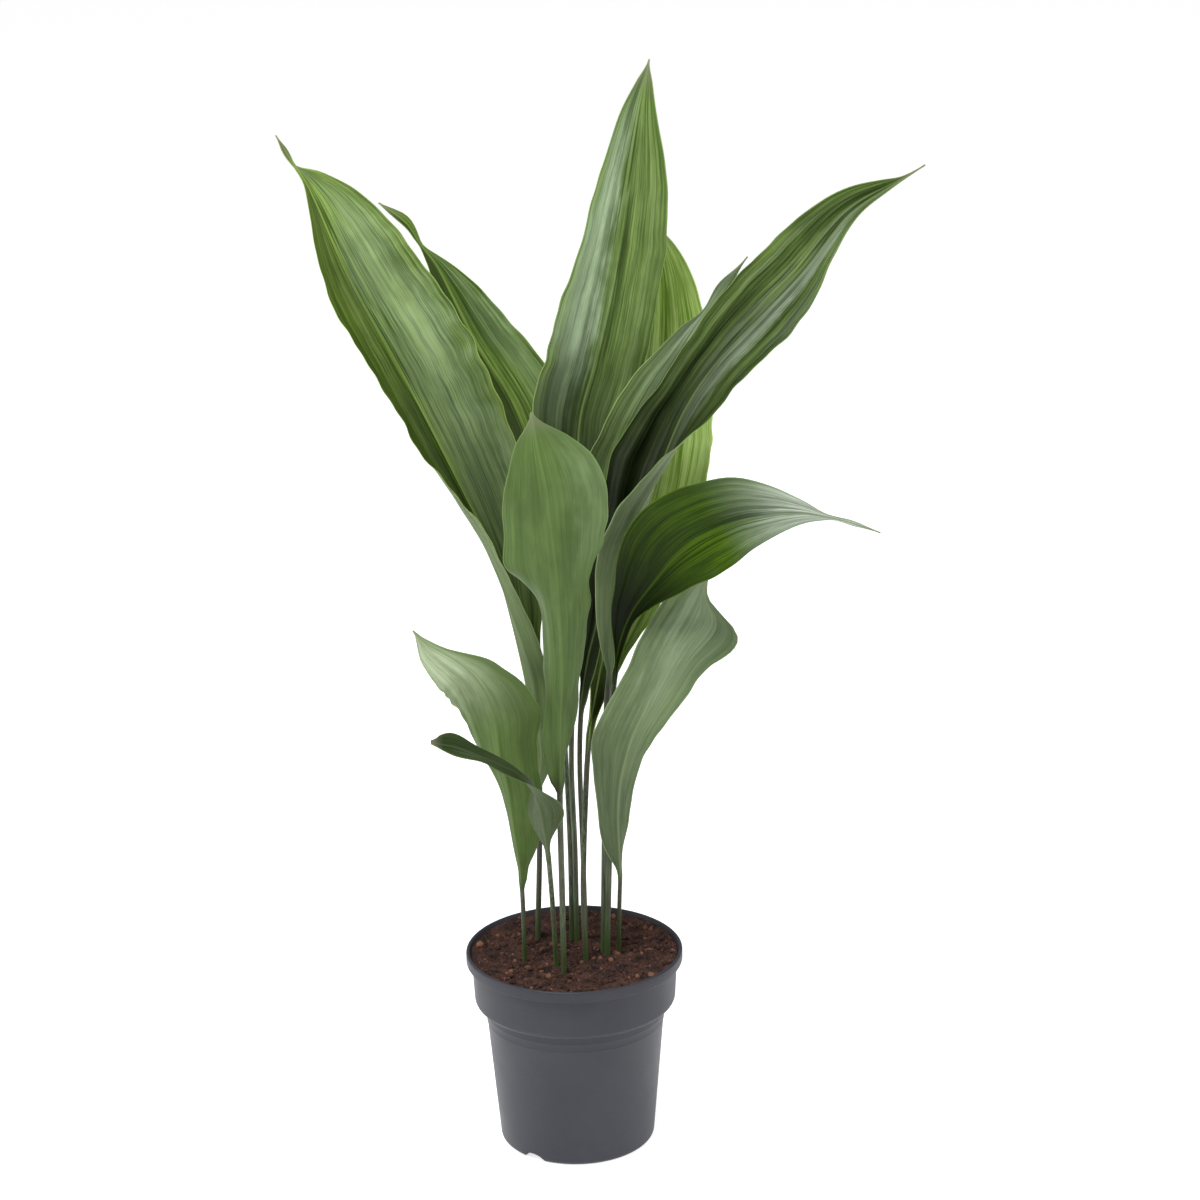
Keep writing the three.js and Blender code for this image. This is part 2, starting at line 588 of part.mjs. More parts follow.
function drainHole(k) {
  const turn = ((k + 0.5) * 2 * Math.PI) / DRAIN_HOLES;
  const middle = (CHANNEL_IN + CHANNEL_OUT) / 2;
  const radius = DRAIN_HOLE_RADIUS;
  const cutter = new THREE.CylinderGeometry(radius, radius, 3 * FLOOR_TOP, DRAIN_HOLE_SECTORS);
  return cutter.rotateX(Math.PI / 2).translate(middle * Math.cos(turn), middle * Math.sin(turn), 0);
}

// An arched way through the foot ring, so that water runs off.
function drainNotch(directionDegrees) {
  const arch = new THREE.Shape();
  arch.moveTo(-NOTCH_WIDTH / 2, -CUTTER_OVERREACH);
  arch.lineTo(NOTCH_WIDTH / 2, -CUTTER_OVERREACH);
  arch.lineTo(NOTCH_WIDTH / 2, 0);
  arch.absellipse(0, 0, NOTCH_WIDTH / 2, NOTCH_HEIGHT, 0, Math.PI, false);
  const inner = CHANNEL_OUT - CUTTER_OVERREACH;
  const depth = bodyRadius(NOTCH_HEIGHT) + CUTTER_OVERREACH - inner;
  const shape = { depth, bevelEnabled: false, curveSegments: NOTCH_SEGMENTS };
  const cutter = new THREE.ExtrudeGeometry(arch, shape);
  return cutter
    .rotateX(Math.PI / 2)
    .translate(0, -inner, 0)
    .rotateZ(radians(directionDegrees + 90));
}

function potGeometry() {
  let pot = solid(turned(potOutline(), POT_SECTORS));
  for (let k = 0; k < DRAIN_HOLES; k++) pot = pot.subtract(solid(drainHole(k)));
  for (const direction of NOTCH_DIRECTIONS) pot = pot.subtract(solid(drainNotch(direction)));
  return geometryOf(pot);
}

// Height of the soil's surface over the pot's base: a level that rises at the wall, with low clods.
function soilHeight(x, y, edge) {
  const reach = Math.hypot(x, y) / edge;
  const fade = 1 - reach ** 4;
  let z = SOIL_LEVEL + (SOIL_EDGE_LEVEL - SOIL_LEVEL) * reach ** 6;
  for (const clod of SOIL_CLODS) {
    z += fade * clod.height * Math.sin(clod.waveX * x + clod.waveY * y + clod.phase);
  }
  return z;
}

function soilGeometry() {
  const edge = flareRadius(SOIL_EDGE_LEVEL) - SOIL_WALL_GAP;
  const outline = [
    ...insideOutline(FIT_GAP),
    [flareRadius(FLARE_BOTTOM) - SOIL_WALL_GAP, FLARE_BOTTOM],
    [edge, SOIL_EDGE_LEVEL],
  ];
  for (let k = SOIL_RINGS - 1; k >= 0; k--) outline.push([(edge * k) / SOIL_RINGS, SOIL_LEVEL]);
  const geometry = turned(outline, SOIL_SECTORS);
  const position = geometry.getAttribute("position");
  for (let i = 0; i < position.count; i++) {
    if (position.getZ(i) < SOIL_LEVEL - FIT_GAP) continue;
    position.setZ(i, soilHeight(position.getX(i), position.getY(i), edge));
  }
  let soil = solid(geometry);
  for (const leaf of LEAVES) soil = soil.subtract(solid(stalkHole(leaf)));
  return geometryOf(soil);
}

function piece(name, geometry, colour, roughness) {
  const material = new THREE.MeshStandardMaterial({ color: colour, roughness, metalness: 0 });
  const mesh = new THREE.Mesh(geometry, material);
  mesh.name = name;
  return mesh;
}

const plant = new THREE.Group();
plant.add(piece("pot", potGeometry(), POT_GREY, 0.5));
plant.add(piece("soil", soilGeometry(), SOIL_BROWN, 0.95));
for (const leaf of LEAVES) plant.add(piece(leaf.name, leafGeometry(leaf), LEAF_GREEN, 0.4));

export default plant;
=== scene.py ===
"""Potted cast iron plant: finished leaves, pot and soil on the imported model's frame. Metres, +Z up."""
import math

import bmesh
import bpy
import numpy as np
from mathutils import Matrix, Vector, noise


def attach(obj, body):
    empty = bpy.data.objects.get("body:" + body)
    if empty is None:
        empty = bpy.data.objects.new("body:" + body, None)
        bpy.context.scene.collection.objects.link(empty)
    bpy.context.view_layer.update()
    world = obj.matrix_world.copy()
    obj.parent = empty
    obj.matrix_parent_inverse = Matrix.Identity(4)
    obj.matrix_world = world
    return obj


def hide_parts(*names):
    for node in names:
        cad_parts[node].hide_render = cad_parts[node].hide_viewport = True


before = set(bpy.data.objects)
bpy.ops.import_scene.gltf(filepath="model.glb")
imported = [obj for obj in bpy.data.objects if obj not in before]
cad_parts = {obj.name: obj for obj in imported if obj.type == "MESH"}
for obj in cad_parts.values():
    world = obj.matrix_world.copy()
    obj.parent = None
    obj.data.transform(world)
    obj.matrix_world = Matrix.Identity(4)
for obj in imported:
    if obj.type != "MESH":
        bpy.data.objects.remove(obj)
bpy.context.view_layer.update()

MM = 0.001

# Driving dimensions of the pot, in millimetres
RIM_RADIUS = 85
POT_HEIGHT = 159
WALL = 1.5
FOOT_RADIUS = 56.7
CORNER_RADIUS = 4.5
CORNER_END_DEGREES = -5
BODY_RADIUS_AT_BASE = 60.7
BODY_TAPER = 0.088
STEP_LINES = [(101, 0.35), (108, 0.35)]
STEP_HALF = 0.5
STEP_BEAD = 0.2
STEP_BEAD_FALL = 0.15
STEP_LEDGE_RISE = 0.1
STEP_TAPER_RISE = 0.4
BODY_TOP = 115.2
BODY_TOP_FILLET = 1
BODY_TOP_FLARE = 0.3
BAND_EDGE_RADIUS = 4.9
BAND_EDGE_RISE = 0.6
BAND_INSIDE_RISE = 0.5
COLLAR_RISE = 1
BAND_RADIUS_LOW = 79.1
BAND_RADIUS_HIGH = 80.7
LIP_BOTTOM = 149.6
LIP_ROUND = 1.6
LIP_SHOULDER_FALL = 0.4
LIP_INSIDE_RADIUS = 82.4
LIP_BEVEL_FALL = 1
FLARE_BOTTOM = 148.6
PAD_RADIUS = 38
PAD_THICKNESS = 1.8
CHANNEL_IN = 39.5
CHANNEL_OUT = 52.5
CHANNEL_HEIGHT = 5
FLOOR_TOP = 7.3
DRAIN_HOLES = 6
DRAIN_HOLE_RADIUS = 3.5
DRAIN_HOLE_SECTORS = 32
NOTCH_WIDTH = 20
NOTCH_HEIGHT = 6
NOTCH_DIRECTIONS = [-125, 55]
NOTCH_STEPS = 24
CUTTER_FALL = 5
CUTTER_INSET = 1
CUTTER_OVERREACH = 3
POT_SECTORS = 192
SHARP_EDGE_DEGREES = 35

# The band's top fillet: distance out from the band, and height from LIP_BOTTOM
BAND_TOP_FILLET = [(-0.2, -3), (0.3, -0.6), (1.2, 0)]

# The lip's underside: distance out from the rim, and height from LIP_BOTTOM
LIP_UNDERSIDE = [(-0.8, 0.5), (-0.2, 1.0), (0, 1.8)]

# Driving dimensions of the soil, in millimetres
SOIL_LEVEL = 152.6
SOIL_EDGE_LEVEL = 156
SOIL_WALL_GAP = 0.45
FIT_GAP = 0.3
SOIL_RINGS = 84
SOIL_SECTORS = 300
SMOOTH_EDGE = 1.5
CLUMP_SPAN = 6
CLUMP_HEIGHT = 1.0
LUMP_SPAN = 2.6
LUMP_HEIGHT = 1.6
TINT_SPAN = 9

# Low clods: height in millimetres, waves along X and Y in radians per millimetre, and phase
SOIL_CLODS = [
    (1.5, 0.071, 0.052, 1.3),
    (1.1, -0.093, 0.121, 0.4),
    (0.8, 0.205, 0.158, 2.2),
    (0.6, -0.262, 0.237, 4.1),
]

# Crumbs on the soil, in millimetres, with roughness and rise as shares of their size
CRUMB_COUNT = 1300
CRUMB_SEED = 5
CRUMB_LEAST = 0.55
CRUMB_RANGE = 2.4
CRUMB_FINE_FROM = 1.5
CRUMB_ROUGHNESS = 0.55
CRUMB_RISE = 0.15

# Fibres on the soil, in millimetres, and radians for the turn at a step
FIBRE_COUNT = 170
FIBRE_SEED = 8
FIBRE_SIDES = 4
FIBRE_STEPS = 9
FIBRE_LENGTHS = (4, 15)
FIBRE_RADII = (0.12, 0.3)
FIBRE_CURL = 0.25
FIBRE_RISE = 0.6
FIBRE_INSET = 12

# Driving dimensions of all the leaves, in millimetres, shares and radians
ROOT_DEPTH = 34
BLADE_THICKNESS = 0.7
MARGIN_THINNING = 0.4
RIB_THICKNESS = 2.6
RIB_HALF_WIDTH = 2.4
FOLD_AT_RIB = 0.55
FOLD_TO_MARGIN = 0.9
LEAST_BEND = 1e-4
COLLAR_SHARE = 0.07
STALK_EDGE = 0.99
RIPPLE = 1.6
RIPPLE_PHASE_RIGHT = 2
LEAST_HALF_WIDTH = 0.5
FRAME_STEPS = 240
CURVE_STEPS = 24
COLUMNS = 81
BLADE_STEP = 4
STALK_STEP = 12
LENGTH_PER_UV = 500

# Folds: how many waves lie between rib and margin, and how high they are beside the broadest
FOLDS = [(1.3, 1), (2.3, 0.6), (4.1, 0.27), (6.7, 0.12), (10.9, 0.05), (15.3, 0.03)]
FOLD_HALF_WIDTH = 36
FOLD_MOST = 1.1
CROSS_RIPPLE = 0.12

# Uneven margins: their shift and curl on a blade of this half-width, and the spans of their waves
MARGIN_SHIFT = 1.1
MARGIN_CURL = 2.2
MARGIN_HALF_WIDTH = 40
MARGIN_SPANS = [23, 37, 61]

# Each leaf, in millimetres, degrees and sRGB tones, with a seed for random draws
# spine: middle line from the soil to the tip. stalk, radius: length and radius of the bare stalk.
# facing: where the upper face looks at the soil, 0 to the viewer, 90 to the right. ripples: along a margin.
# widths: [share of the blade, half-width left of the rib, half-width right of it].
# pose: [share of the blade, twist about the rib, rise of the left half, rise of the right half].
# upper, under: dark and light tone of a face. left: painted shade, how much darker the upper face's left half
# is.
# low: painted shade, how much darker the low part of the upper and of the under face is, and up to which
# share.
# sheen: strength of a painted highlight, a pale band of painted sheen, its place across (-1 is the left
# margin, 1 the right), its half-width, and the shares between which it runs. sheen_tone: its tone. gloss:
# specular level. folds: their height.
LEAVES = [{
  "name": "leaf_left_tall",
  "spine": [
    [-29, 27, 152], [-26, 27, 231], [-25, 28, 298], [-31, 30, 355], [-43, 33, 418], [-57, 41, 469],
    [-83, 56, 525], [-125, 82, 607], [-165, 104, 679], [-194, 120, 745], [-206, 126, 762], [-217, 130, 781],
  ],
  "stalk": 124, "radius": 2.2, "facing": 10, "ripples": 5,
  "widths": [
    [0, 2.2, 2.2], [0.012, 5, 4.5], [0.03, 9.5, 8], [0.058, 12.5, 9.5], [0.087, 14, 10], [0.14, 16, 11.5],
    [0.184, 21, 15], [0.228, 24, 20], [0.291, 27, 30], [0.378, 33, 44], [0.485, 38, 54], [0.573, 39, 59],
    [0.641, 38, 60], [0.733, 32, 56], [0.82, 22, 49], [0.883, 9, 34], [0.922, 2.5, 16], [0.942, 1.5, 4.5],
    [0.951, 1.3, 1.3], [0.978, 3.2, 3.2], [1, 0.6, 0.6],
  ],
  "pose": [
    [0, 80, 70, 65], [0.165, 80, 78, 70], [0.213, 68, 65, 65], [0.291, 50, 56, 58], [0.378, 35, 57, 42],
    [0.485, 15, 51, 25], [0.573, 5, 55, 15], [0.641, 0, 50, 10], [0.733, -3, 46, 8], [0.82, -5, 40, 8],
    [0.874, -5, 30, 10], [0.937, 0, 10, 10], [1, 60, 0, 0],
  ],
  "upper": ((42, 68, 6), (118, 142, 58)), "under": ((74, 92, 50), (104, 122, 76)),
  "low": (0.62, 0, 0.8), "left": 0.42, "sheen": (0.42, 0.5, 0.6, 0.15, 1), "sheen_tone": (152, 170, 142),
  "gloss": 0.2, "folds": 1.2, "seed": 3,
}, {
  "name": "leaf_left_behind",
  "spine": [
    [-2, 30, 151], [-2, 36, 227], [-4, 46, 299], [-7, 60, 361], [-14, 78, 421], [-20, 104, 495],
    [-35, 124, 557], [-71, 144, 619], [-99, 158, 673], [-111, 163, 688], [-121, 166, 704], [-143, 168, 721],
  ],
  "stalk": 237, "radius": 2, "facing": 10, "ripples": 4,
  "widths": [
    [0, 2, 2], [0.1, 10, 10], [0.2, 22, 22], [0.3, 30, 30], [0.4, 36, 37], [0.5, 38, 38], [0.6, 36, 34],
    [0.7, 30, 27], [0.78, 20, 17], [0.84, 9, 6], [0.875, 2, 2], [0.9, 2.5, 3], [0.94, 3.5, 5],
    [0.97, 2.5, 3], [1, 0.6, 0.6],
  ],
  "pose": [
    [0, 0, 50, 50], [0.2, 0, 50, 50], [0.5, 0, 35, 15], [0.8, 0, 40, 5], [0.88, 0, 30, 5], [1, 10, 0, 0],
  ],
  "upper": ((50, 74, 14), (112, 136, 62)), "under": ((66, 82, 46), (96, 112, 70)),
  "low": (0.5, 0, 0.6), "left": 0.75, "sheen": (0.3, 0.6, 0.4, 0.3, 0.95), "sheen_tone": (152, 170, 142),
  "gloss": 0.14, "folds": 1, "seed": 11,
}, {
  "name": "leaf_centre_tall",
  "spine": [
    [2, 24, 154], [2, 26, 231], [0.5, 29, 305], [3, 33, 361], [6, 42, 432], [9, 56, 508], [12, 68, 568],
    [24, 76, 611], [35, 84, 659], [50, 94, 743], [62, 97, 808], [69, 98, 838],
  ],
  "stalk": 257, "radius": 2, "facing": 0, "ripples": 5,
  "widths": [
    [0, 2, 2], [0.1, 12, 12], [0.2, 25, 25], [0.3, 34, 34], [0.4, 39, 37], [0.5, 38, 38], [0.6, 33, 38],
    [0.7, 26, 37], [0.8, 21, 31], [0.9, 14, 16], [0.96, 6, 7], [1, 0.6, 0.6],
  ],
  "pose": [
    [0, 0, 45, 45], [0.2, 0, 35, 35], [0.35, 0, 20, 20], [0.5, 0, 15, 12], [0.8, 0, 12, 12], [1, 0, 15, 15],
  ],
  "upper": ((56, 78, 24), (108, 130, 68)), "under": ((66, 82, 46), (96, 112, 70)),
  "low": (0.9, 0, 0.62), "left": 0, "sheen": (0.8, -0.5, 0.5, 0.2, 1), "sheen_tone": (156, 174, 146),
  "gloss": 0.2, "folds": 1.3, "seed": 19,
}, {
  "name": "leaf_back",
  "spine": [
    [9, -11, 153], [8, -8, 198], [9, 0, 241], [11, 14, 277], [13, 26, 306], [16, 38, 331], [21, 50, 355],
    [27, 62, 380], [34, 74, 405], [42, 85, 434], [50, 98, 472], [62, 122, 529], [72, 142, 589],
    [76, 152, 643], [74, 158, 678], [70, 160, 703],
  ],
  "stalk": 165, "radius": 2.2, "facing": 0, "ripples": 4,
  "widths": [
    [0, 2.2, 2.2], [0.05, 4, 5], [0.1, 7, 9], [0.17, 12, 20], [0.23, 17, 30], [0.29, 22, 38], [0.35, 28, 43],
    [0.43, 38, 49], [0.51, 44, 54], [0.59, 46, 54], [0.68, 44, 48], [0.76, 40, 43], [0.84, 32, 35],
    [0.92, 20, 24], [0.967, 10, 13], [1, 0.6, 0.6],
  ],
  "pose": [
    [0, 0, 60, 60], [0.1, 0, 50, 45], [0.2, 0, 38, 32], [0.35, 0, 25, 25], [0.6, 0, 15, 15],
    [0.85, 0, 15, 15], [1, 0, 20, 20],
  ],
  # Its upper tones are its own yellow-green made brighter with painted light, as if the lights shone through
  # the blade from behind.
  "upper": ((88, 124, 0), (172, 198, 112)), "under": ((76, 98, 34), (104, 130, 60)),
  "low": (0.95, 0, 0.3), "left": 0, "sheen": (0.5, -0.2, 0.6, 0.2, 0.85), "sheen_tone": (152, 170, 142),
  "gloss": 0.2, "folds": 1.3, "seed": 27,
}, {
  "name": "leaf_right_tall",
  "spine": [
    [23, 4, 152], [25, 6, 238], [27, 7, 313], [29, 8, 361], [33, 8, 394], [45, 7, 452], [58, 7, 506],
    [75, 9, 551], [91, 12, 588], [112, 17, 619], [153, 26, 660], [178, 33, 684], [217, 46, 728],
    [246, 54, 746], [273, 60, 761],
  ],
  "stalk": 218, "radius": 2.3, "facing": -20, "ripples": 5,
  "widths": [
    [0, 2.3, 2.3], [0.06, 6, 9], [0.12, 13, 20], [0.2, 24, 31], [0.28, 34, 35], [0.36, 39, 38],
    [0.43, 33, 38], [0.49, 26, 36], [0.55, 27, 35], [0.62, 32, 33], [0.7, 34, 26], [0.8, 29, 12],
    [0.87, 19, 5], [0.93, 8, 2.5], [0.96, 2, 1.5], [1, 0.6, 0.6],
  ],
  "pose": [
    [0, -70, 75, 70], [0.1, -68, 75, 75], [0.25, -55, 50, 72], [0.4, -22, 30, 55], [0.5, -8, 25, 38],
    [0.7, 0, 15, 25], [0.85, 0, 15, 15], [1, 0, 20, 20],
  ],
  "upper": ((24, 42, 6), (92, 112, 54)), "under": ((88, 104, 68), (116, 132, 92)),
  "low": (0.98, 0, 0.76), "left": 0, "sheen": (0.55, 0.14, 0.3, 0.25, 1), "sheen_tone": (140, 150, 132),
  "gloss": 0.12, "folds": 1.2, "seed": 35,
}, {
  "name": "leaf_right_behind",
  "spine": [
    [9, 28, 152], [8, 31, 230], [7, 33, 305], [9, 34, 345], [15, 35, 385], [23, 34, 418], [36, 33, 490],
    [52, 38, 551], [69, 47, 588], [92, 54, 625], [119, 64, 667], [141, 72, 692],
  ],
  "stalk": 190, "radius": 2, "facing": -10, "ripples": 4,
  "widths": [
    [0, 2, 2], [0.04, 3, 6], [0.1, 8, 10], [0.2, 18, 13], [0.33, 29, 15], [0.43, 32, 19], [0.52, 32, 23],
    [0.62, 28, 26], [0.71, 21, 25], [0.81, 12, 13], [0.865, 3, 3], [0.93, 5, 5], [1, 0.6, 0.6],
  ],
  "pose": [
    [0, -20, 60, 30], [0.1, -15, 50, 35], [0.23, -10, 40, 40], [0.43, 5, 15, 20], [0.62, 10, 15, 15],
    [0.86, 0, 15, 15], [1, 60, 20, 20],
  ],
  "upper": ((52, 70, 24), (104, 124, 72)), "under": ((56, 72, 38), (84, 100, 62)),
  "low": (0.92, 0, 0.7), "left": 0, "sheen": (0.75, -0.2, 0.8, 0.55, 1.2), "sheen_tone": (150, 164, 142),
  "gloss": 0.14, "folds": 1, "seed": 43,
}, {
  "name": "leaf_right_arching",
  "spine": [
    [26, -3, 155], [29, -2, 242], [31, -1, 316], [34, -3, 373], [39, -8, 411], [49, -14, 439],
    [64, -20, 462], [81, -26, 484], [101, -32, 501], [126, -38, 514], [149, -42, 520], [174, -46, 523],
    [196, -48, 520], [216, -50, 515], [232, -52, 509],
  ],
  "stalk": 224, "radius": 2.2, "facing": 0, "ripples": 4,
  "widths": [
    [0, 2.2, 2.2], [0.06, 3, 3.5], [0.12, 6, 5], [0.2, 15, 8], [0.3, 30, 15], [0.4, 43, 25], [0.5, 46, 30],
    [0.6, 40, 26], [0.7, 26, 17], [0.78, 13, 9], [0.84, 4, 4], [0.88, 1.8, 1.8], [0.93, 2.6, 2.6],
    [1, 0.6, 0.6],
  ],
  "pose": [[0, 0, 50, 60], [0.2, -10, 30, 45], [0.5, -15, 15, 15], [0.8, -20, 10, 10], [1, 30, 20, 20]],
  "upper": ((26, 48, 0), (66, 92, 10)), "under": ((74, 92, 50), (100, 118, 74)),
  "low": (0.98, 0, 0.58), "left": 0, "sheen": (1, 0.1, 2.4, 0.55, 1.5), "sheen_tone": (206, 214, 200),
  "gloss": 0.08, "folds": 0.9, "seed": 51,
}, {
  "name": "leaf_right_low",
  "spine": [
    [35, 7, 153], [36, -3, 196], [37, -13, 229], [36, -24, 279], [39, -28, 312], [47, -31, 343],
    [60, -29, 371], [72, -23, 394], [83, -14, 413], [95, -4, 431], [102, 4, 444], [106, 10, 458],
  ],
  "stalk": 66, "radius": 1.7, "facing": 180, "ripples": 3,
  "widths": [
    [0, 1.7, 1.7], [0.05, 2.4, 3], [0.1, 5, 8.5], [0.16, 8, 13], [0.25, 10, 16], [0.35, 13, 21],
    [0.45, 16, 28], [0.55, 19, 28], [0.65, 24, 26], [0.75, 29, 27], [0.82, 36, 27], [0.87, 41, 26],
    [0.9, 38, 25], [0.915, 29, 24.5], [0.93, 14, 22.5], [0.945, 6, 20], [0.965, 3, 17], [1, 2, 8],
  ],
  "pose": [[0, 0, 60, 5], [0.2, 0, 40, 5], [0.5, 0, 15, 5], [0.8, 0, 5, 5], [1, 0, 10, 10]],
  "upper": ((44, 68, 24), (84, 108, 52)), "under": ((74, 92, 56), (118, 134, 96)),
  "low": (0.6, 0.4, 0.6), "left": 0, "sheen": (0.4, 0, 0.7, 0.45, 1.2), "sheen_tone": (152, 168, 142),
  "gloss": 0.16, "folds": 0.9, "seed": 59,
}, {
  "name": "leaf_front",
  "spine": [
    [-8, -31, 154], [-8, -33, 188], [-8, -37, 223], [-8, -45, 300], [-6, -55, 368], [-4, -62, 405],
    [-4, -68, 443], [-6, -76, 481], [-9, -82, 518], [-12, -84, 553], [-18, -80, 586], [-22, -74, 610],
  ],
  "stalk": 153, "radius": 2.3, "facing": 180, "ripples": 4,
  "widths": [
    [0, 2.3, 2.3], [0.03, 4, 8], [0.06, 7, 14], [0.1, 10, 17], [0.15, 14, 19], [0.2, 18, 20], [0.3, 25, 25],
    [0.4, 30, 30], [0.5, 34, 36], [0.6, 37, 39], [0.7, 41, 39], [0.8, 44, 34], [0.87, 38, 26],
    [0.93, 24, 17], [1, 1, 1],
  ],
  "pose": [
    [0, 0, 60, 50], [0.1, 0, 56, 45], [0.2, 0, 52, 50], [0.4, 0, 53, 62], [0.5, 0, 50, 56], [0.6, 0, 36, 24],
    [0.7, 0, 18, 20], [0.85, 0, 10, 15], [1, 0, 20, 20],
  ],
  "upper": ((46, 72, 24), (88, 116, 52)), "under": ((60, 82, 34), (88, 109, 57)),
  "low": (0.4, 0.15, 0.5), "left": 0, "sheen": (0.35, -0.8, 0.5, 0.5, 1), "sheen_tone": (140, 160, 120),
  "gloss": 0.16, "folds": 0.7, "seed": 67,
}, {
  "name": "leaf_left_low",
  "spine": [
    [-39, -7, 153], [-39, -11, 196], [-40, -16, 228], [-44, -22, 268], [-48, -29, 306], [-53, -35, 334],
    [-54, -40, 352], [-56, -43, 368], [-59.5, -45, 382], [-65, -47, 394], [-72, -48, 404], [-80.5, -48, 412],
    [-91, -47, 419], [-102, -45, 425], [-109, -43, 430], [-115, -41, 436],
  ],
  "stalk": 62, "radius": 1.8, "facing": 180, "ripples": 3,
  "widths": [
    [0, 1.8, 1.8], [0.04, 6, 3], [0.1, 17, 8], [0.2, 22.5, 14], [0.3, 25, 20], [0.4, 27, 24], [0.47, 29, 28],
    [0.53, 30, 32], [0.57, 33, 34], [0.6, 35, 36], [0.64, 33, 37], [0.68, 29, 36.5], [0.73, 22, 34],
    [0.77, 18, 31.5], [0.81, 12, 30], [0.84, 8, 29], [0.88, 4.5, 26], [0.91, 3.5, 22], [0.94, 3, 15],
    [0.96, 2, 8], [0.98, 1.3, 2.5], [1, 0.6, 0.6],
  ],
  "pose": [
    [0, 0, 50, 80], [0.2, 0, 20, 85], [0.3, 0, 12, 76], [0.4, 0, 10, 62], [0.47, 0, 12, 52],
    [0.57, 0, 15, 40], [0.68, 0, 20, 28], [0.76, 0, 25, 20], [0.85, 0, 25, 15], [1, 0, 20, 15],
  ],
  "upper": ((44, 68, 24), (88, 116, 52)), "under": ((62, 84, 34), (88, 110, 52)),
  "low": (0.1, 0, 0.4), "left": 0, "sheen": (0.95, 0.4, 1.5, 0.54, 1.3), "sheen_tone": (168, 180, 148),
  "gloss": 0.16, "folds": 0.9, "seed": 75,
}, {
  "name": "leaf_folded_small",
  "spine": [
    [-14, -19, 153], [-15, -24, 185], [-16, -34, 218], [-17, -44, 243], [-18, -50, 262], [-20, -55, 281],
    [-23, -59, 300], [-28, -62, 315], [-38, -64, 328], [-52, -67, 338], [-68, -71, 347], [-83, -76, 355],
    [-102, -82, 362],
  ],
  "stalk": 102, "radius": 1.9, "facing": 180, "ripples": 3,
  "widths": [
    [0, 1.9, 1.9], [0.06, 2.5, 5], [0.12, 5, 11], [0.2, 11, 20], [0.28, 17, 26], [0.34, 19, 25],
    [0.4, 16, 17], [0.46, 12, 10], [0.55, 9, 6], [0.65, 9, 6], [0.75, 10, 9], [0.84, 10, 13], [0.9, 9, 13],
    [0.95, 6, 9], [1, 2, 2],
  ],
  "pose": [
    [0, -15, 60, 55], [0.15, -20, 45, 40], [0.25, -30, 35, 30], [0.35, -50, 25, 25], [0.45, -75, 15, 20],
    [0.6, -92, 8, 12], [0.8, -98, 8, 10], [1, -100, 5, 5],
  ],
  "upper": ((32, 46, 20), (62, 76, 40)), "under": ((52, 66, 34), (80, 93, 60)),
  "low": (0.2, 0, 0.4), "left": 0, "sheen": (0.3, -0.3, 0.5, 0.5, 0.95), "sheen_tone": (140, 154, 128),
  "gloss": 0.16, "folds": 0.6, "seed": 83,
}]

# Tones (sRGB)
DRY_TIP = (118, 116, 96)
BLADE_FOOT = (62, 70, 48)
STALK_DARK = (44, 52, 34)
STALK_LIGHT = (84, 94, 66)
STALK_BROWN = (70, 62, 54)
STALK_FOOT = (58, 78, 36)
POT_DARK = (49, 49, 55)
POT_LIGHT = (56, 56, 62)
POT_SCUFF = (78, 79, 84)
PEAT_DARK = (32, 20, 18)
PEAT_LIGHT = (72, 46, 38)
PEAT_DRY = (124, 86, 68)
PEAT_GRIT = (112, 84, 66)

# Floor, in millimetres, and light. A soft box has a place and side in metres, watts and a colour.
FLOOR_HALF_SIDE = 20000
FLOOR_GLOW = 0.74
WORLD_STRENGTH = 0.3
LIGHTS_AIM = (0, 0, 0.45)
SOFT_BOXES = {
    "top": ((-0.5, -1.0, 2.5), 1.1, 64, (0.94, 0.97, 1)),
    "left": ((-2.2, -0.3, 1.1), 1.5, 23, (1, 1, 1)),
    "right": ((2.2, -0.5, 1.2), 1.5, 20, (1, 1, 1)),
}

# Camera, in metres and degrees, with its lens in millimetres
CAMERA_PLACE = (0.025, -2.2, 1.134)
CAMERA_DOWN = 17.4
CAMERA_ROLL = -1
CAMERA_LENS = 91.3
CAMERA_SENSOR = 36


# Helpers


def srgb(tone, factor=1.0, lift=0):
    """An sRGB tone, darker or lighter if asked, as the linear colour that a shader takes."""
    channels = [min(255, factor * c + lift) / 255 for c in tone]
    return tuple(c / 12.92 if c <= 0.04045 else ((c + 0.055) / 1.055) ** 2.4 for c in channels) + (1.0,)


def smoothstep(x, low, high):
    t = np.clip((x - low) / (high - low), 0, 1)
    return t * t * (3 - 2 * t)


def lerp(a, b, t):
    return a + (b - a) * t


def unit(vectors):
    return vectors / np.linalg.norm(vectors, axis=-1, keepdims=True)


# Shader building


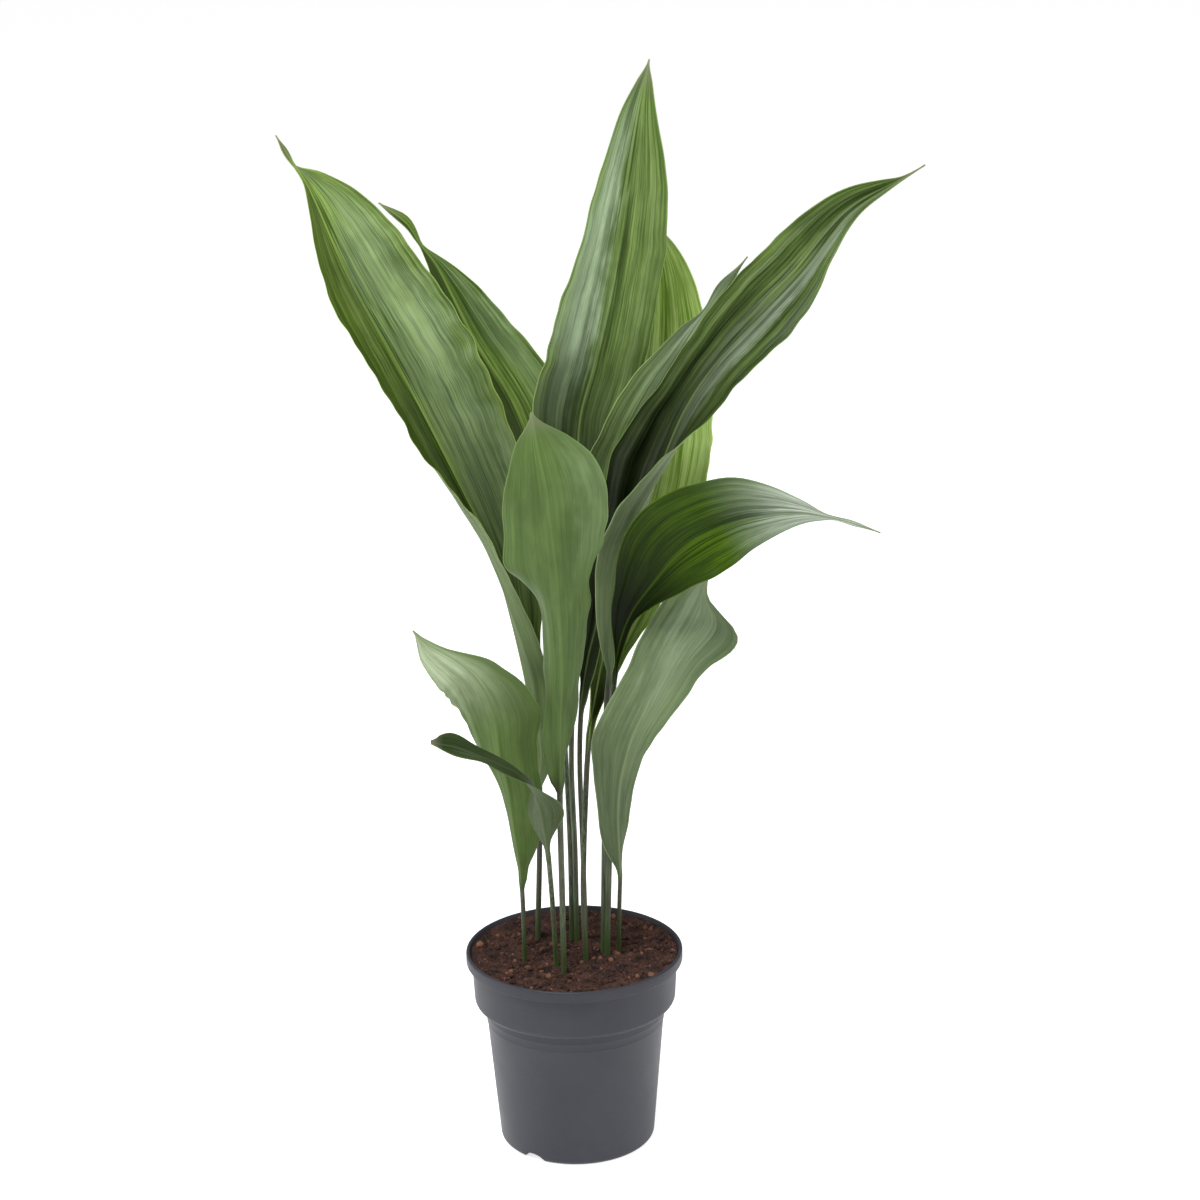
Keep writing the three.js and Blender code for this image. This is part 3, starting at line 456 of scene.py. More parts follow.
class Shader:
    """A material's node tree, with short calls for its nodes."""

    def __init__(self, name):
        self.material = bpy.data.materials.new(name)
        self.material.use_nodes = True
        self.tree = self.material.node_tree
        self.surface = self.tree.nodes["Principled BSDF"]

    def node(self, kind, inputs=(), **settings):
        made = self.tree.nodes.new(kind)
        for key, value in settings.items():
            setattr(made, key, value)
        for key, value in dict(inputs).items():
            self.set(made.inputs[key], value)
        return made

    def set(self, socket, value):
        if isinstance(value, bpy.types.NodeSocket):
            self.tree.links.new(value, socket)
        else:
            socket.default_value = value

    def finish(self, colour, roughness, specular, **inputs):
        """Sets the surface and gives the material."""
        self.set(self.surface.inputs["Base Color"], colour)
        self.set(self.surface.inputs["Roughness"], roughness)
        self.surface.inputs["Specular IOR Level"].default_value = specular
        for key, value in inputs.items():
            self.set(self.surface.inputs[key.replace("_", " ")], value)
        return self.material

    def math(self, operation, a, b=0.0):
        return self.node("ShaderNodeMath", {0: a, 1: b}, operation=operation).outputs[0]

    def times(self, *factors):
        product = factors[0]
        for factor in factors[1:]:
            product = self.math("MULTIPLY", product, factor)
        return product

    def blend(self, *weighted):
        """The sum of weighted values."""
        total = self.times(*weighted[0])
        for value, weight in weighted[1:]:
            total = self.math("ADD", total, self.times(value, weight))
        return total

    def mix(self, share, a, b):
        inputs = {"Factor": share, "A": a, "B": b}
        return self.node("ShaderNodeMix", inputs, data_type="RGBA").outputs["Result"]

    def steps(self, value, low, high, start=0.0, end=1.0):
        """Smooth change from start at low to end at high."""
        inputs = {"Value": value, "From Min": low, "From Max": high, "To Min": start, "To Max": end}
        return self.node("ShaderNodeMapRange", inputs, interpolation_type="SMOOTHSTEP").outputs[0]

    def attribute(self, name):
        return self.node("ShaderNodeAttribute", attribute_name=name).outputs["Fac"]

    def noise(self, vector, scale, detail=2.0, roughness=0.5, stretch=(1, 1, 1), offset=0.0):
        moved = {"Vector": vector, "Location": (offset, offset, 0), "Scale": stretch}
        placed = self.node("ShaderNodeMapping", moved).outputs[0]
        settings = {"Vector": placed, "Scale": scale, "Detail": detail, "Roughness": roughness}
        return self.node("ShaderNodeTexNoise", settings).outputs["Fac"]

    def uv(self):
        return self.node("ShaderNodeTexCoord").outputs["UV"]

    def place(self):
        return self.node("ShaderNodeTexCoord").outputs["Object"]

    def part_of(self, vector, axis):
        return self.node("ShaderNodeSeparateXYZ", {"Vector": vector}).outputs[axis]

    def bump(self, height, distance, strength=1.0):
        made = self.node("ShaderNodeBump", {"Height": height, "Distance": distance, "Strength": strength})
        self.set(self.surface.inputs["Normal"], made.outputs[0])


def painted_sheen_band(s, leaf, share, across, tone, blotch):
    """How much of the painted sheen band shows, broken up by streaks and blotches."""
    sheen, middle, half_width, sheen_from, sheen_to = leaf["sheen"]
    swayed = s.math("ADD", across, s.times(s.math("SUBTRACT", blotch, 0.5), 0.5))
    apart = s.math("ABSOLUTE", s.math("SUBTRACT", swayed, 0.5 + middle / 2))
    return s.times(
        s.steps(apart, 0.1 * half_width, 0.6 * half_width, 1, 0),
        s.steps(share, sheen_from, sheen_from + 0.35),
        s.steps(share, sheen_to - 0.2, sheen_to, 1, 0),
        s.steps(tone, 0.36, 0.6, 0.55 * sheen, sheen),
        s.steps(blotch, 0.35, 0.6, 1.0, 0.6),
    )


def blade_material(leaf, face):
    """A leaf's upper or under face: streaks, a painted sheen band, painted shade low down, on the upper
    face's left half and beside its rib, and a stalk-toned base.
    """
    s = Shader(leaf["name"] + "_" + face)
    is_upper = face == "upper"
    dark, light = leaf[face]
    upper_low_shade, under_low_shade, low_shade_reach = leaf["low"]
    seed = leaf["seed"]
    uv = s.uv()
    share = s.attribute("share")
    from_rib = s.attribute("from_rib")
    across = s.part_of(uv, "X")
    fine = s.noise(uv, 1, 3, 0.65, (110, 7, 1), seed)
    streak = s.noise(uv, 1, 3, 0.6, (36, 4, 1), seed + 5)
    broad = s.noise(uv, 1, 2, 0.5, (9, 1.5, 1), seed + 13)
    blotch = s.noise(uv, 1, 3, 0.6, (4, 9, 1), seed + 9)
    tone = s.blend((fine, 0.45), (streak, 0.35), (broad, 0.2))
    spread = 0.11 if is_upper else 0.2
    colour = s.mix(s.steps(tone, 0.5 - spread, 0.5 + spread), srgb(dark), srgb(light))
    colour = s.mix(s.steps(blotch, 0.4, 0.65, 0.0, 0.35), colour, srgb(dark, 0.75))
    # Painted sheen: a pale band that stands in for the reflection of the lights.
    colour = s.mix(painted_sheen_band(s, leaf, share, across, tone, blotch), colour, srgb(leaf["sheen_tone"]))
    # Painted shade: the low part of the blade darker, as where the leaves around it shade it.
    low = s.steps(share, 0.35 * low_shade_reach, low_shade_reach, upper_low_shade if is_upper else under_low_shade, 0)
    colour = s.mix(low, colour, srgb(dark, 0.35))
    if is_upper:
        # Painted shade: the upper face's left half darker, as where it turns away from the light.
        left = s.steps(across, 0.42, 0.5, leaf["left"], 0)
        colour = s.mix(left, colour, srgb(dark, 0.5))
        # Painted shade: dark streaks in the grooves beside the rib.
        rib_groove_shade = s.times(s.steps(from_rib, 3, 12, 0.55, 0), s.steps(streak, 0.4, 0.52, 1, 0))
        colour = s.mix(rib_groove_shade, colour, srgb(dark, 0.6))
    margin = s.steps(s.attribute("from_margin"), 0.3, 0.8, 0.4, 0)
    colour = s.mix(margin, colour, srgb(light, 1.25, 16))
    colour = s.mix(s.steps(from_rib, 0.3, 1.2, 0.5, 0), colour, srgb(light))
    colour = s.mix(s.steps(share, 0, 0.06, 0.85, 0), colour, srgb(BLADE_FOOT))
    colour = s.mix(s.steps(share, 0.93, 1.0, 0.0, 0.5), colour, srgb(DRY_TIP))
    calm = s.steps(share, 0.7, 0.97, 1, 0)
    s.bump(s.times(s.blend((fine, 0.6), (streak, 0.4)), calm), 0.35 * MM)
    smoothest, roughest = (0.34, 0.46) if is_upper else (0.5, 0.6)
    return s.finish(colour, s.steps(streak, 0.3, 0.7, smoothest, roughest), leaf["gloss"])


def stalk_material():
    """Dark green, purplish brown in places and greener at the soil."""
    s = Shader("stalk_green")
    place = s.place()
    streak = s.noise(place, 1, 3, 0.6, (900, 900, 25))
    patch = s.noise(place, 1, 2, 0.5, (60, 60, 14), 3)
    colour = s.mix(s.steps(streak, 0.35, 0.65), srgb(STALK_DARK), srgb(STALK_LIGHT))
    colour = s.mix(s.steps(patch, 0.45, 0.62, 0.0, 0.6), colour, srgb(STALK_BROWN))
    low = s.steps(s.part_of(place, "Z"), 0.152, 0.215, 0.75, 0)
    colour = s.mix(low, colour, srgb(STALK_FOOT))
    s.bump(streak, 0.3 * MM, 0.6)
    return s.finish(colour, s.steps(patch, 0.3, 0.7, 0.4, 0.55), 0.3)


def pot_material():
    """Dark grey moulded plastic with faint scuffs."""
    s = Shader("pot_grey_plastic")
    place = s.place()
    cloud = s.noise(place, 18, 3, 0.6)
    grain = s.noise(place, 900, 2, 0.5)
    scuff = s.noise(place, 1, 4, 0.7, (60, 60, 260), 2)
    colour = s.mix(s.steps(cloud, 0.3, 0.7), srgb(POT_DARK), srgb(POT_LIGHT))
    colour = s.mix(s.steps(scuff, 0.6, 0.75, 0.0, 0.25), colour, srgb(POT_SCUFF))
    s.bump(s.math("ADD", grain, s.times(scuff, 0.6)), 0.12 * MM, 0.5)
    return s.finish(colour, s.steps(cloud, 0.3, 0.7, 0.42, 0.52), 0.2)


def soil_material():
    """Moist peat: dark and reddish brown, lighter where crumbs are dry."""
    s = Shader("soil_peat")
    place = s.place()
    patch = s.noise(place, 90, 4, 0.65)
    grit = s.noise(place, 900, 4, 0.7)
    colour = s.mix(s.steps(patch, 0.35, 0.65), srgb(PEAT_DARK), srgb(PEAT_LIGHT))
    colour = s.mix(s.steps(s.attribute("tint"), 0.35, 1.0, 0.0, 0.9), colour, srgb(PEAT_DRY))
    colour = s.mix(s.steps(grit, 0.5, 0.72, 0.0, 0.55), colour, srgb(PEAT_GRIT))
    s.bump(s.math("ADD", grit, patch), 0.9 * MM, 0.9)
    return s.finish(colour, 0.95, 0.25)


def floor_material():
    """Plain white that glows a little, as an even background."""
    s = Shader("floor_white")
    speck = s.noise(s.place(), 30, 2, 0.5)
    colour = s.mix(speck, (0.78, 0.78, 0.78, 1), (0.82, 0.82, 0.82, 1))
    return s.finish(colour, 0.8, 0.5, Emission_Color=(1, 1, 1, 1), Emission_Strength=FLOOR_GLOW)


# Mesh building


def add_piece(name, vertices, faces, materials, slot, kinds=None, replaces=None):
    """A smooth mesh made of millimetre points, which rides on the one body if it has a slot."""
    mesh = bpy.data.meshes.new(name)
    mesh.from_pydata((np.asarray(vertices) * MM).tolist(), [], [list(face) for face in faces])
    for material in materials:
        mesh.materials.append(material)
    mesh.polygons.foreach_set("use_smooth", [True] * len(mesh.polygons))
    if kinds is not None:
        mesh.polygons.foreach_set("material_index", np.asarray(kinds, dtype=np.int32))
    mesh.update()
    piece = bpy.data.objects.new(name, mesh)
    bpy.context.scene.collection.objects.link(piece)
    if slot:
        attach(piece, "root")
    if replaces:
        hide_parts(replaces)
    return piece


def add_attribute(piece, name, values):
    attribute = piece.data.attributes.new(name, "FLOAT", "POINT")
    attribute.data.foreach_set("value", np.asarray(values, dtype=np.float32).ravel())


# Leaves


def catmull_rom(points):
    """Points along a centripetal curve through the given ones."""
    p = np.asarray(points, float)
    p = np.vstack([2 * p[0] - p[1], p, 2 * p[-1] - p[-2]])
    knots = np.concatenate([[0], np.cumsum(np.linalg.norm(np.diff(p, axis=0), axis=1) ** 0.5)])
    out = []
    for i in range(len(p) - 3):
        a, b, c, d = p[i : i + 4]
        t0, t1, t2, t3 = knots[i : i + 4]
        for t in np.linspace(t1, t2, CURVE_STEPS, endpoint=False):
            ab = lerp(a, b, (t - t0) / (t1 - t0))
            bc = lerp(b, c, (t - t1) / (t2 - t1))
            cd = lerp(c, d, (t - t2) / (t3 - t2))
            abc = lerp(ab, bc, (t - t0) / (t2 - t0))
            bcd = lerp(bc, cd, (t - t1) / (t3 - t1))
            out.append(lerp(abc, bcd, (t - t1) / (t2 - t1)))
    return np.array(out + [p[-2]])


def along(keys, share):
    """A key list's values at an array of shares, on a smooth curve through its keys."""
    keys = np.asarray(keys, float)
    at, values = keys[:, 0], keys[:, 1:]
    slopes = np.zeros_like(values)
    slopes[1:-1] = (values[2:] - values[:-2]) / (at[2:] - at[:-2])[:, None]
    share = np.clip(share, at[0], at[-1])
    k = np.clip(np.searchsorted(at, share, side="right") - 1, 0, len(at) - 2)
    span = (at[k + 1] - at[k])[:, None]
    u = ((share - at[k]) / span[:, 0])[:, None]
    rise = (3 - 2 * u) * u * u
    bend = slopes[k] * span * u * (1 - u) ** 2 - slopes[k + 1] * span * u * u * (1 - u)
    return lerp(values[k], values[k + 1], rise) + bend


def sampled(at, reach, vectors):
    """Vectors given at some distances, read at others."""
    return np.stack([np.interp(at, reach, vectors[:, i]) for i in range(3)], -1)


def middle_line(leaf):
    """Even distances from the buried end to the tip, with points, tangents and untwisted upper directions."""
    x, y, z = leaf["spine"][0]
    dense = catmull_rom([[x, y, z - ROOT_DEPTH]] + leaf["spine"])
    reach = np.concatenate([[0], np.cumsum(np.linalg.norm(np.diff(dense, axis=0), axis=1))])
    even = np.linspace(0, reach[-1], FRAME_STEPS + 1)
    points = sampled(even, reach, dense)
    tangents = unit(np.gradient(points, axis=0))
    turn = math.radians(leaf["facing"])
    up = np.array([math.sin(turn), -math.cos(turn), 0.0])
    ups = []
    for tangent in tangents:
        up = unit(up - tangent * np.dot(up, tangent))
        ups.append(up)
    return even, points, tangents, np.array(ups)


def stations(leaf, length):
    """Distances along the middle line, closer on the blade."""
    blade_start = ROOT_DEPTH + leaf["stalk"]
    stalk = np.linspace(0, blade_start, round(blade_start / STALK_STEP), endpoint=False)
    blade = np.linspace(blade_start, length, round((length - blade_start) / BLADE_STEP) + 1)
    return np.concatenate([stalk, blade])


def leaf_axes(at, even, points, tangents, ups, twist):
    """At each station: the point, the direction to the right margin and the upper direction."""
    point = sampled(at, even, points)
    tangent = unit(sampled(at, even, tangents))
    up = sampled(at, even, ups)
    up = unit(up - tangent * np.sum(up * tangent, axis=1, keepdims=True))
    up = up * np.cos(twist)[:, None] + np.cross(tangent, up) * np.sin(twist)[:, None]
    return point, np.cross(tangent, up), up


def bent_halves(v, half_width, rise):
    """A cross-section whose halves rise from the rib and curve on: place across, height and slope."""
    start = rise * FOLD_AT_RIB
    bend = np.maximum(rise * FOLD_TO_MARGIN, LEAST_BEND)
    slope = start + bend * np.abs(v)
    across = np.sign(v) * half_width * (np.sin(slope) - np.sin(start)) / bend
    raised = half_width * (np.cos(start) - np.cos(slope)) / bend
    return across, raised, slope


def folds(v, share, seed):
    """Lengthwise relief of a blade, from -1 to 1 or so."""
    draw = np.random.default_rng(seed)
    total = np.zeros_like(v)
    for waves, weight in FOLDS:
        for side in (-1, 1):
            phase, drift, bulge = draw.uniform(0, 2 * math.pi, 3)
            count = waves * draw.uniform(0.85, 1.15)
            swell = 0.7 + 0.4 * np.sin(5 * share + bulge)
            wave = np.sin(2 * math.pi * count * np.abs(v) + phase + 0.9 * np.sin(2.4 * share + drift))
            total += weight * swell * wave * (np.sign(v) == side)
    bend, skew = draw.uniform(0, 2 * math.pi, 2)
    total += CROSS_RIPPLE * np.sin(80 * share + 4 * np.sin(3 * v + bend)) * np.sin(9 * v + skew + 6 * share)
    return total * smoothstep(np.abs(v), 0.02, 0.2)


def waver(at, seed):
    """An uneven wave along a margin, from -1 to 1 or so."""
    draw = np.random.default_rng(seed)
    total = np.zeros_like(at)
    for span in MARGIN_SPANS:
        height = draw.uniform(0.5, 1)
        waves = at / (span * draw.uniform(0.8, 1.2)) + draw.random()
        total += height * np.sin(2 * math.pi * waves)
    return total / len(MARGIN_SPANS)


def margin_freedom(share):
    """How freely the margins wave: not at the blade's ends."""
    return smoothstep(share, 0.1, 0.3) * smoothstep(1 - share, 0.05, 0.3)


def half_widths(leaf, at, share, v):
    """Half-width at each station and column, with uneven margins."""
    left, right = along(leaf["widths"], share).T
    shift = MARGIN_SHIFT * margin_freedom(share)
    left = left + shift * waver(at, leaf["seed"] + 1) * left / MARGIN_HALF_WIDTH
    right = right + shift * waver(at, leaf["seed"] + 2) * right / MARGIN_HALF_WIDTH
    return np.maximum(np.where(v < 0, left[:, None], right[:, None]), LEAST_HALF_WIDTH)


def relief(leaf, at, share, v, half_width, opened):
    """How far ripples, curled margins and folds lift the sheet."""
    seed = leaf["seed"]
    to_tip = smoothstep(1 - share, 0.02, 0.25)[:, None]
    phase = np.where(v < 0, 0, RIPPLE_PHASE_RIGHT)
    ripple = np.sin(leaf["ripples"] * 2 * math.pi * share[:, None] + phase)
    wave = RIPPLE * opened * to_tip * v * v * ripple
    curl = np.where(v < 0, waver(at, seed + 3)[:, None], waver(at, seed + 4)[:, None])
    freedom = margin_freedom(share)[:, None]
    wave += MARGIN_CURL * freedom * curl * np.abs(v) ** 4 * half_width / MARGIN_HALF_WIDTH
    calm_tip = smoothstep(1 - share, 0.0, 0.2)[:, None]
    depth = leaf["folds"] * np.minimum(half_width / FOLD_HALF_WIDTH, FOLD_MOST) * opened * calm_tip
    return wave + depth * folds(v, share[:, None] + 0 * v, seed)


def sheet_thickness(leaf, share, v, near_rib, opened):
    """Nearly round on the stalk, thin on the blade and thicker along its rib."""
    stalk_round = 2 * leaf["radius"] * np.sqrt(1 - (STALK_EDGE * v) ** 2)
    rib = (RIB_THICKNESS - BLADE_THICKNESS) * (1 - np.clip(share, 0, 1))[:, None]
    sheet = BLADE_THICKNESS * (1 - MARGIN_THINNING * v**8) + rib * near_rib
    return lerp(stalk_round, sheet, opened)


def leaf_columns(opened):
    """Places between the margins, -1 and 1: even on the blade, closer at a stalk's sides."""
    even_columns = np.linspace(-1, 1, COLUMNS)[None, :]
    v = lerp(np.sin(even_columns * math.pi / 2), even_columns, opened)
    v[:, COLUMNS // 2] = 0
    return v


def leaf_sheet(leaf):
    """Points of both faces, each stations by columns, and what the materials read."""
    even, points, tangents, ups = middle_line(leaf)
    at = stations(leaf, even[-1])
    blade_start = ROOT_DEPTH + leaf["stalk"]
    share = (at - blade_start) / (even[-1] - blade_start)
    twist, left_rise, right_rise = np.radians(along(leaf["pose"], share)).T
    point, side, up = leaf_axes(at, even, points, tangents, ups, twist)
    opened = smoothstep(share, 0, COLLAR_SHARE)[:, None]
    v = leaf_columns(opened)
    half_width = half_widths(leaf, at, share, v)
    rise = np.where(v < 0, left_rise[:, None], right_rise[:, None]) * opened
    across, raised, slope = bent_halves(v, half_width, rise)
    from_rib = np.abs(v) * half_width
    near_rib = np.exp(-((from_rib / RIB_HALF_WIDTH) ** 2))
    slant = np.sign(v) * slope * (1 - near_rib)
    normal = up[:, None] * np.cos(slant)[..., None] - side[:, None] * np.sin(slant)[..., None]
    middle = point[:, None] + side[:, None] * across[..., None] + up[:, None] * raised[..., None]
    middle += normal * relief(leaf, at, share, v, half_width, opened)[..., None]
    half_sheet = normal * sheet_thickness(leaf, share, v, near_rib, opened)[..., None] / 2
    facts = {
        "from_rib": from_rib,
        "from_margin": (1 - np.abs(v)) * half_width,
        "share": share[:, None] + 0 * v,
        "across": 0.5 + 0.5 * v,
        "along": (at / LENGTH_PER_UV)[:, None] + 0 * v,
    }
    return middle + half_sheet, middle - half_sheet, facts


def quads(a, b, c, d):
    return np.stack([a.ravel(), b.ravel(), c.ravel(), d.ravel()], -1)


def sheet_faces(rows, columns):
    """Faces of a closed leaf, and their materials: 0 upper face, margins and tip, 1 under face, 2 foot."""
    upper = np.arange(rows * columns).reshape(rows, columns)
    lower = upper + rows * columns
    top = quads(upper[:-1, :-1], upper[:-1, 1:], upper[1:, 1:], upper[1:, :-1])
    under = quads(lower[:-1, :-1], lower[1:, :-1], lower[1:, 1:], lower[:-1, 1:])
    left = quads(lower[:-1, 0], upper[:-1, 0], upper[1:, 0], lower[1:, 0])
    right = quads(lower[:-1, -1], lower[1:, -1], upper[1:, -1], upper[:-1, -1])
    foot = quads(upper[0, :-1], lower[0, :-1], lower[0, 1:], upper[0, 1:])
    tip = quads(upper[-1, :-1], upper[-1, 1:], lower[-1, 1:], lower[-1, :-1])
    groups = [top, under, left, right, foot, tip]
    kinds = np.repeat([0, 1, 0, 0, 2, 0], [len(group) for group in groups])
    return np.concatenate(groups), kinds


def add_leaf(leaf, stalk):
    """A leaf, blade and stalk in one closed piece, in place of its CAD solid."""
    name = leaf["name"]
    upper, lower, facts = leaf_sheet(leaf)
    rows, columns = upper.shape[:2]
    faces, kinds = sheet_faces(rows, columns)
    bare = facts["share"].ravel()[faces[:, 0] % (rows * columns)] < 0
    kinds = np.where(bare, 2, kinds)
    materials = [blade_material(leaf, "upper"), blade_material(leaf, "under"), stalk]
    vertices = np.concatenate([upper.reshape(-1, 3), lower.reshape(-1, 3)])
    piece = add_piece(name + "_finished", vertices, faces.tolist(), materials, "leaf", kinds, name)
    for key in ("from_rib", "from_margin", "share"):
        add_attribute(piece, key, np.tile(facts[key].ravel(), 2))
    uv = np.tile(np.stack([facts["across"].ravel(), facts["along"].ravel()], -1), (2, 1))
    layer = piece.data.uv_layers.new(name="along_veins")
    corners = np.zeros(len(piece.data.loops), dtype=np.int32)
    piece.data.loops.foreach_get("vertex_index", corners)
    layer.data.foreach_set("uv", uv[corners].astype(np.float32).ravel())


# Pot


def arc(radius, centre_r, centre_z, from_degrees, to_degrees, steps):
    """Points on an arc of a turned outline, as (radius, height)."""
    angles = np.radians(np.linspace(from_degrees, to_degrees, steps + 1))
    return [(centre_r + radius * math.cos(a), centre_z + radius * math.sin(a)) for a in angles]


def body_radius(z):
    return BODY_RADIUS_AT_BASE + BODY_TAPER * z


def flare_radius(z):
    """The pot's inner radius where its wall flares out to the lip."""
    top = POT_HEIGHT - LIP_SHOULDER_FALL
    below = BAND_RADIUS_HIGH - WALL
    return below + (LIP_INSIDE_RADIUS - below) * (z - FLARE_BOTTOM) / (top - FLARE_BOTTOM)


def inside_outline(gap):
    """The pot's inside, from its floor's middle up to its collar, moved in by a gap."""
    steps = sum(grow for _, grow in STEP_LINES)
    pad_edge = PAD_RADIUS - PAD_THICKNESS
    pad_step = (FLOOR_TOP - PAD_THICKNESS) * (CHANNEL_IN - PAD_RADIUS) / CHANNEL_HEIGHT
    corner_r = body_radius(FLOOR_TOP) - WALL - CORNER_RADIUS - gap
    return [
        (0, PAD_THICKNESS + gap),
        (pad_edge - gap, PAD_THICKNESS + gap),
        (pad_edge + pad_step - gap, FLOOR_TOP + gap),
        *arc(CORNER_RADIUS, corner_r, FLOOR_TOP + CORNER_RADIUS + gap, -90, 0, 6),
        (body_radius(STEP_LINES[0][0]) - WALL - gap, STEP_LINES[0][0]),
        (body_radius(BODY_TOP) + steps - WALL - gap, BODY_TOP + WALL),
        (BAND_RADIUS_LOW - WALL - BAND_EDGE_RADIUS - gap, BODY_TOP + WALL + COLLAR_RISE),
        (BAND_RADIUS_LOW - WALL - gap, BODY_TOP + WALL + BAND_EDGE_RADIUS + BAND_INSIDE_RISE),
    ]


def pot_outline():
    """The pot's outline, from the middle of its underside out and up, over the rim and down inside."""
    outline = [
        (0, 0),
        (PAD_RADIUS, 0),
        (CHANNEL_IN, CHANNEL_HEIGHT),
        (CHANNEL_OUT, CHANNEL_HEIGHT),
        (CHANNEL_OUT + CHANNEL_IN - PAD_RADIUS, 0),
        *arc(CORNER_RADIUS, FOOT_RADIUS, CORNER_RADIUS, -90, CORNER_END_DEGREES, 10),
    ]
    grown = 0
    for z, grow in STEP_LINES:
        outline += [
            (body_radius(z - STEP_HALF) + grown, z - STEP_HALF),
            (body_radius(z) + grown + STEP_BEAD, z - STEP_BEAD_FALL),
            (body_radius(z) + grown + grow, z + STEP_LEDGE_RISE),
            (body_radius(z + STEP_TAPER_RISE) + grown + grow, z + STEP_HALF),
        ]
        grown += grow
    band_edge_z = BODY_TOP + BAND_EDGE_RADIUS + BAND_EDGE_RISE
    outline += [
        (body_radius(BODY_TOP - BODY_TOP_FILLET) + grown, BODY_TOP - BODY_TOP_FILLET),
        (body_radius(BODY_TOP) + grown + BODY_TOP_FLARE, BODY_TOP),
        *arc(BAND_EDGE_RADIUS, BAND_RADIUS_LOW - BAND_EDGE_RADIUS, band_edge_z, -90, 0, 12),
        *[(BAND_RADIUS_HIGH + out, LIP_BOTTOM + up) for out, up in BAND_TOP_FILLET],
        *[(RIM_RADIUS + out, LIP_BOTTOM + up) for out, up in LIP_UNDERSIDE],
        *arc(LIP_ROUND, RIM_RADIUS - LIP_ROUND, POT_HEIGHT - LIP_ROUND, 0, 90, 8),
        (LIP_INSIDE_RADIUS, POT_HEIGHT - LIP_SHOULDER_FALL),
        (flare_radius(POT_HEIGHT - LIP_BEVEL_FALL), POT_HEIGHT - LIP_BEVEL_FALL),
        (flare_radius(FLARE_BOTTOM), FLARE_BOTTOM),
    ]
    return outline + inside_outline(0)[::-1]


def turned(outline, sectors):
    """Points and faces of an outline turned round the height. Its two ends, on the axis, come last."""
    outline = np.array(outline, float)
    radii, heights = outline[1:-1, 0, None], outline[1:-1, 1, None]
    turn = np.linspace(0, 2 * math.pi, sectors, endpoint=False)
    grid = np.stack([radii * np.cos(turn), radii * np.sin(turn), np.repeat(heights, sectors, 1)], -1)
    vertices = np.concatenate([grid.reshape(-1, 3), [[0, 0, outline[0, 1]], [0, 0, outline[-1, 1]]]])
    first, last = len(vertices) - 2, len(vertices) - 1
    last_ring = first - sectors
    faces = []
    for j in range(sectors):
        k = (j + 1) % sectors
        faces += [(first, k, j), (last, last_ring + j, last_ring + k)]
        for ring in range(0, last_ring, sectors):
            faces.append((ring + j, ring + k, ring + sectors + k, ring + sectors + j))
    return vertices, faces


def cut(piece, cutter):
    """Cuts a piece and removes the cutter."""
    modifier = piece.modifiers.new("cut", "BOOLEAN")
    modifier.operation = "DIFFERENCE"
    modifier.solver = "EXACT"
    modifier.object = cutter
    bpy.context.view_layer.objects.active = piece
    bpy.ops.object.modifier_apply(modifier=modifier.name)
    bpy.data.objects.remove(cutter)


def drain_hole_cutter(k):
    """An upright pin where the floor has its drain hole number k."""
    turn = (k + 0.5) * 2 * math.pi / DRAIN_HOLES
    middle = (CHANNEL_IN + CHANNEL_OUT) / 2
    low, high = -CUTTER_FALL, 3 * FLOOR_TOP
    profile = [(0, low), (DRAIN_HOLE_RADIUS, low), (DRAIN_HOLE_RADIUS, high), (0, high)]
    vertices, faces = turned(profile, DRAIN_HOLE_SECTORS)
    vertices += [middle * math.cos(turn), middle * math.sin(turn), 0]
    return add_piece("drain_cutter", vertices, faces, [], None)


def notch_cutter(direction):
    """An arch that runs out through the foot ring."""
    half_width = NOTCH_WIDTH / 2
    arch = [(-half_width, -CUTTER_INSET), (half_width, -CUTTER_INSET)]
    for a in np.linspace(0, math.pi, NOTCH_STEPS + 1):
        arch.append((half_width * math.cos(a), NOTCH_HEIGHT * math.sin(a)))
    count = len(arch)
    turn = math.radians(direction)
    vertices = []
    for reach in (CHANNEL_OUT - CUTTER_INSET, BODY_RADIUS_AT_BASE + CUTTER_OVERREACH):
        for x, z in arch:
            out_x = reach * math.cos(turn) - x * math.sin(turn)
            out_y = reach * math.sin(turn) + x * math.cos(turn)
            vertices.append((out_x, out_y, z))
    faces = [tuple(range(count))[::-1], tuple(range(count, 2 * count))]
    faces += [(i, (i + 1) % count, count + (i + 1) % count, count + i) for i in range(count)]
    return add_piece("notch_cutter", vertices, faces, [], None)


def add_pot():
    """The pot with its drain holes and foot notches, in place of its CAD solid."""
    vertices, faces = turned(pot_outline(), POT_SECTORS)
    pot = add_piece("pot_finished", vertices, faces, [pot_material()], "pot_plastic", None, "pot")
    for k in range(DRAIN_HOLES):
        cut(pot, drain_hole_cutter(k))
    for direction in NOTCH_DIRECTIONS:
        cut(pot, notch_cutter(direction))
    pot.data.set_sharp_from_angle(angle=math.radians(SHARP_EDGE_DEGREES))


# Soil


SOIL_RADIUS = flare_radius(SOIL_EDGE_LEVEL) - SOIL_WALL_GAP


def soil_height(x, y):
    """Height of the soil's surface, which rises at the wall and has low clods."""
    reach = np.hypot(x, y) / SOIL_RADIUS
    z = SOIL_LEVEL + (SOIL_EDGE_LEVEL - SOIL_LEVEL) * reach**6
    for height, wave_x, wave_y, phase in SOIL_CLODS:
        z = z + height * np.sin(wave_x * x + wave_y * y + phase) * (1 - reach**4)
    return z


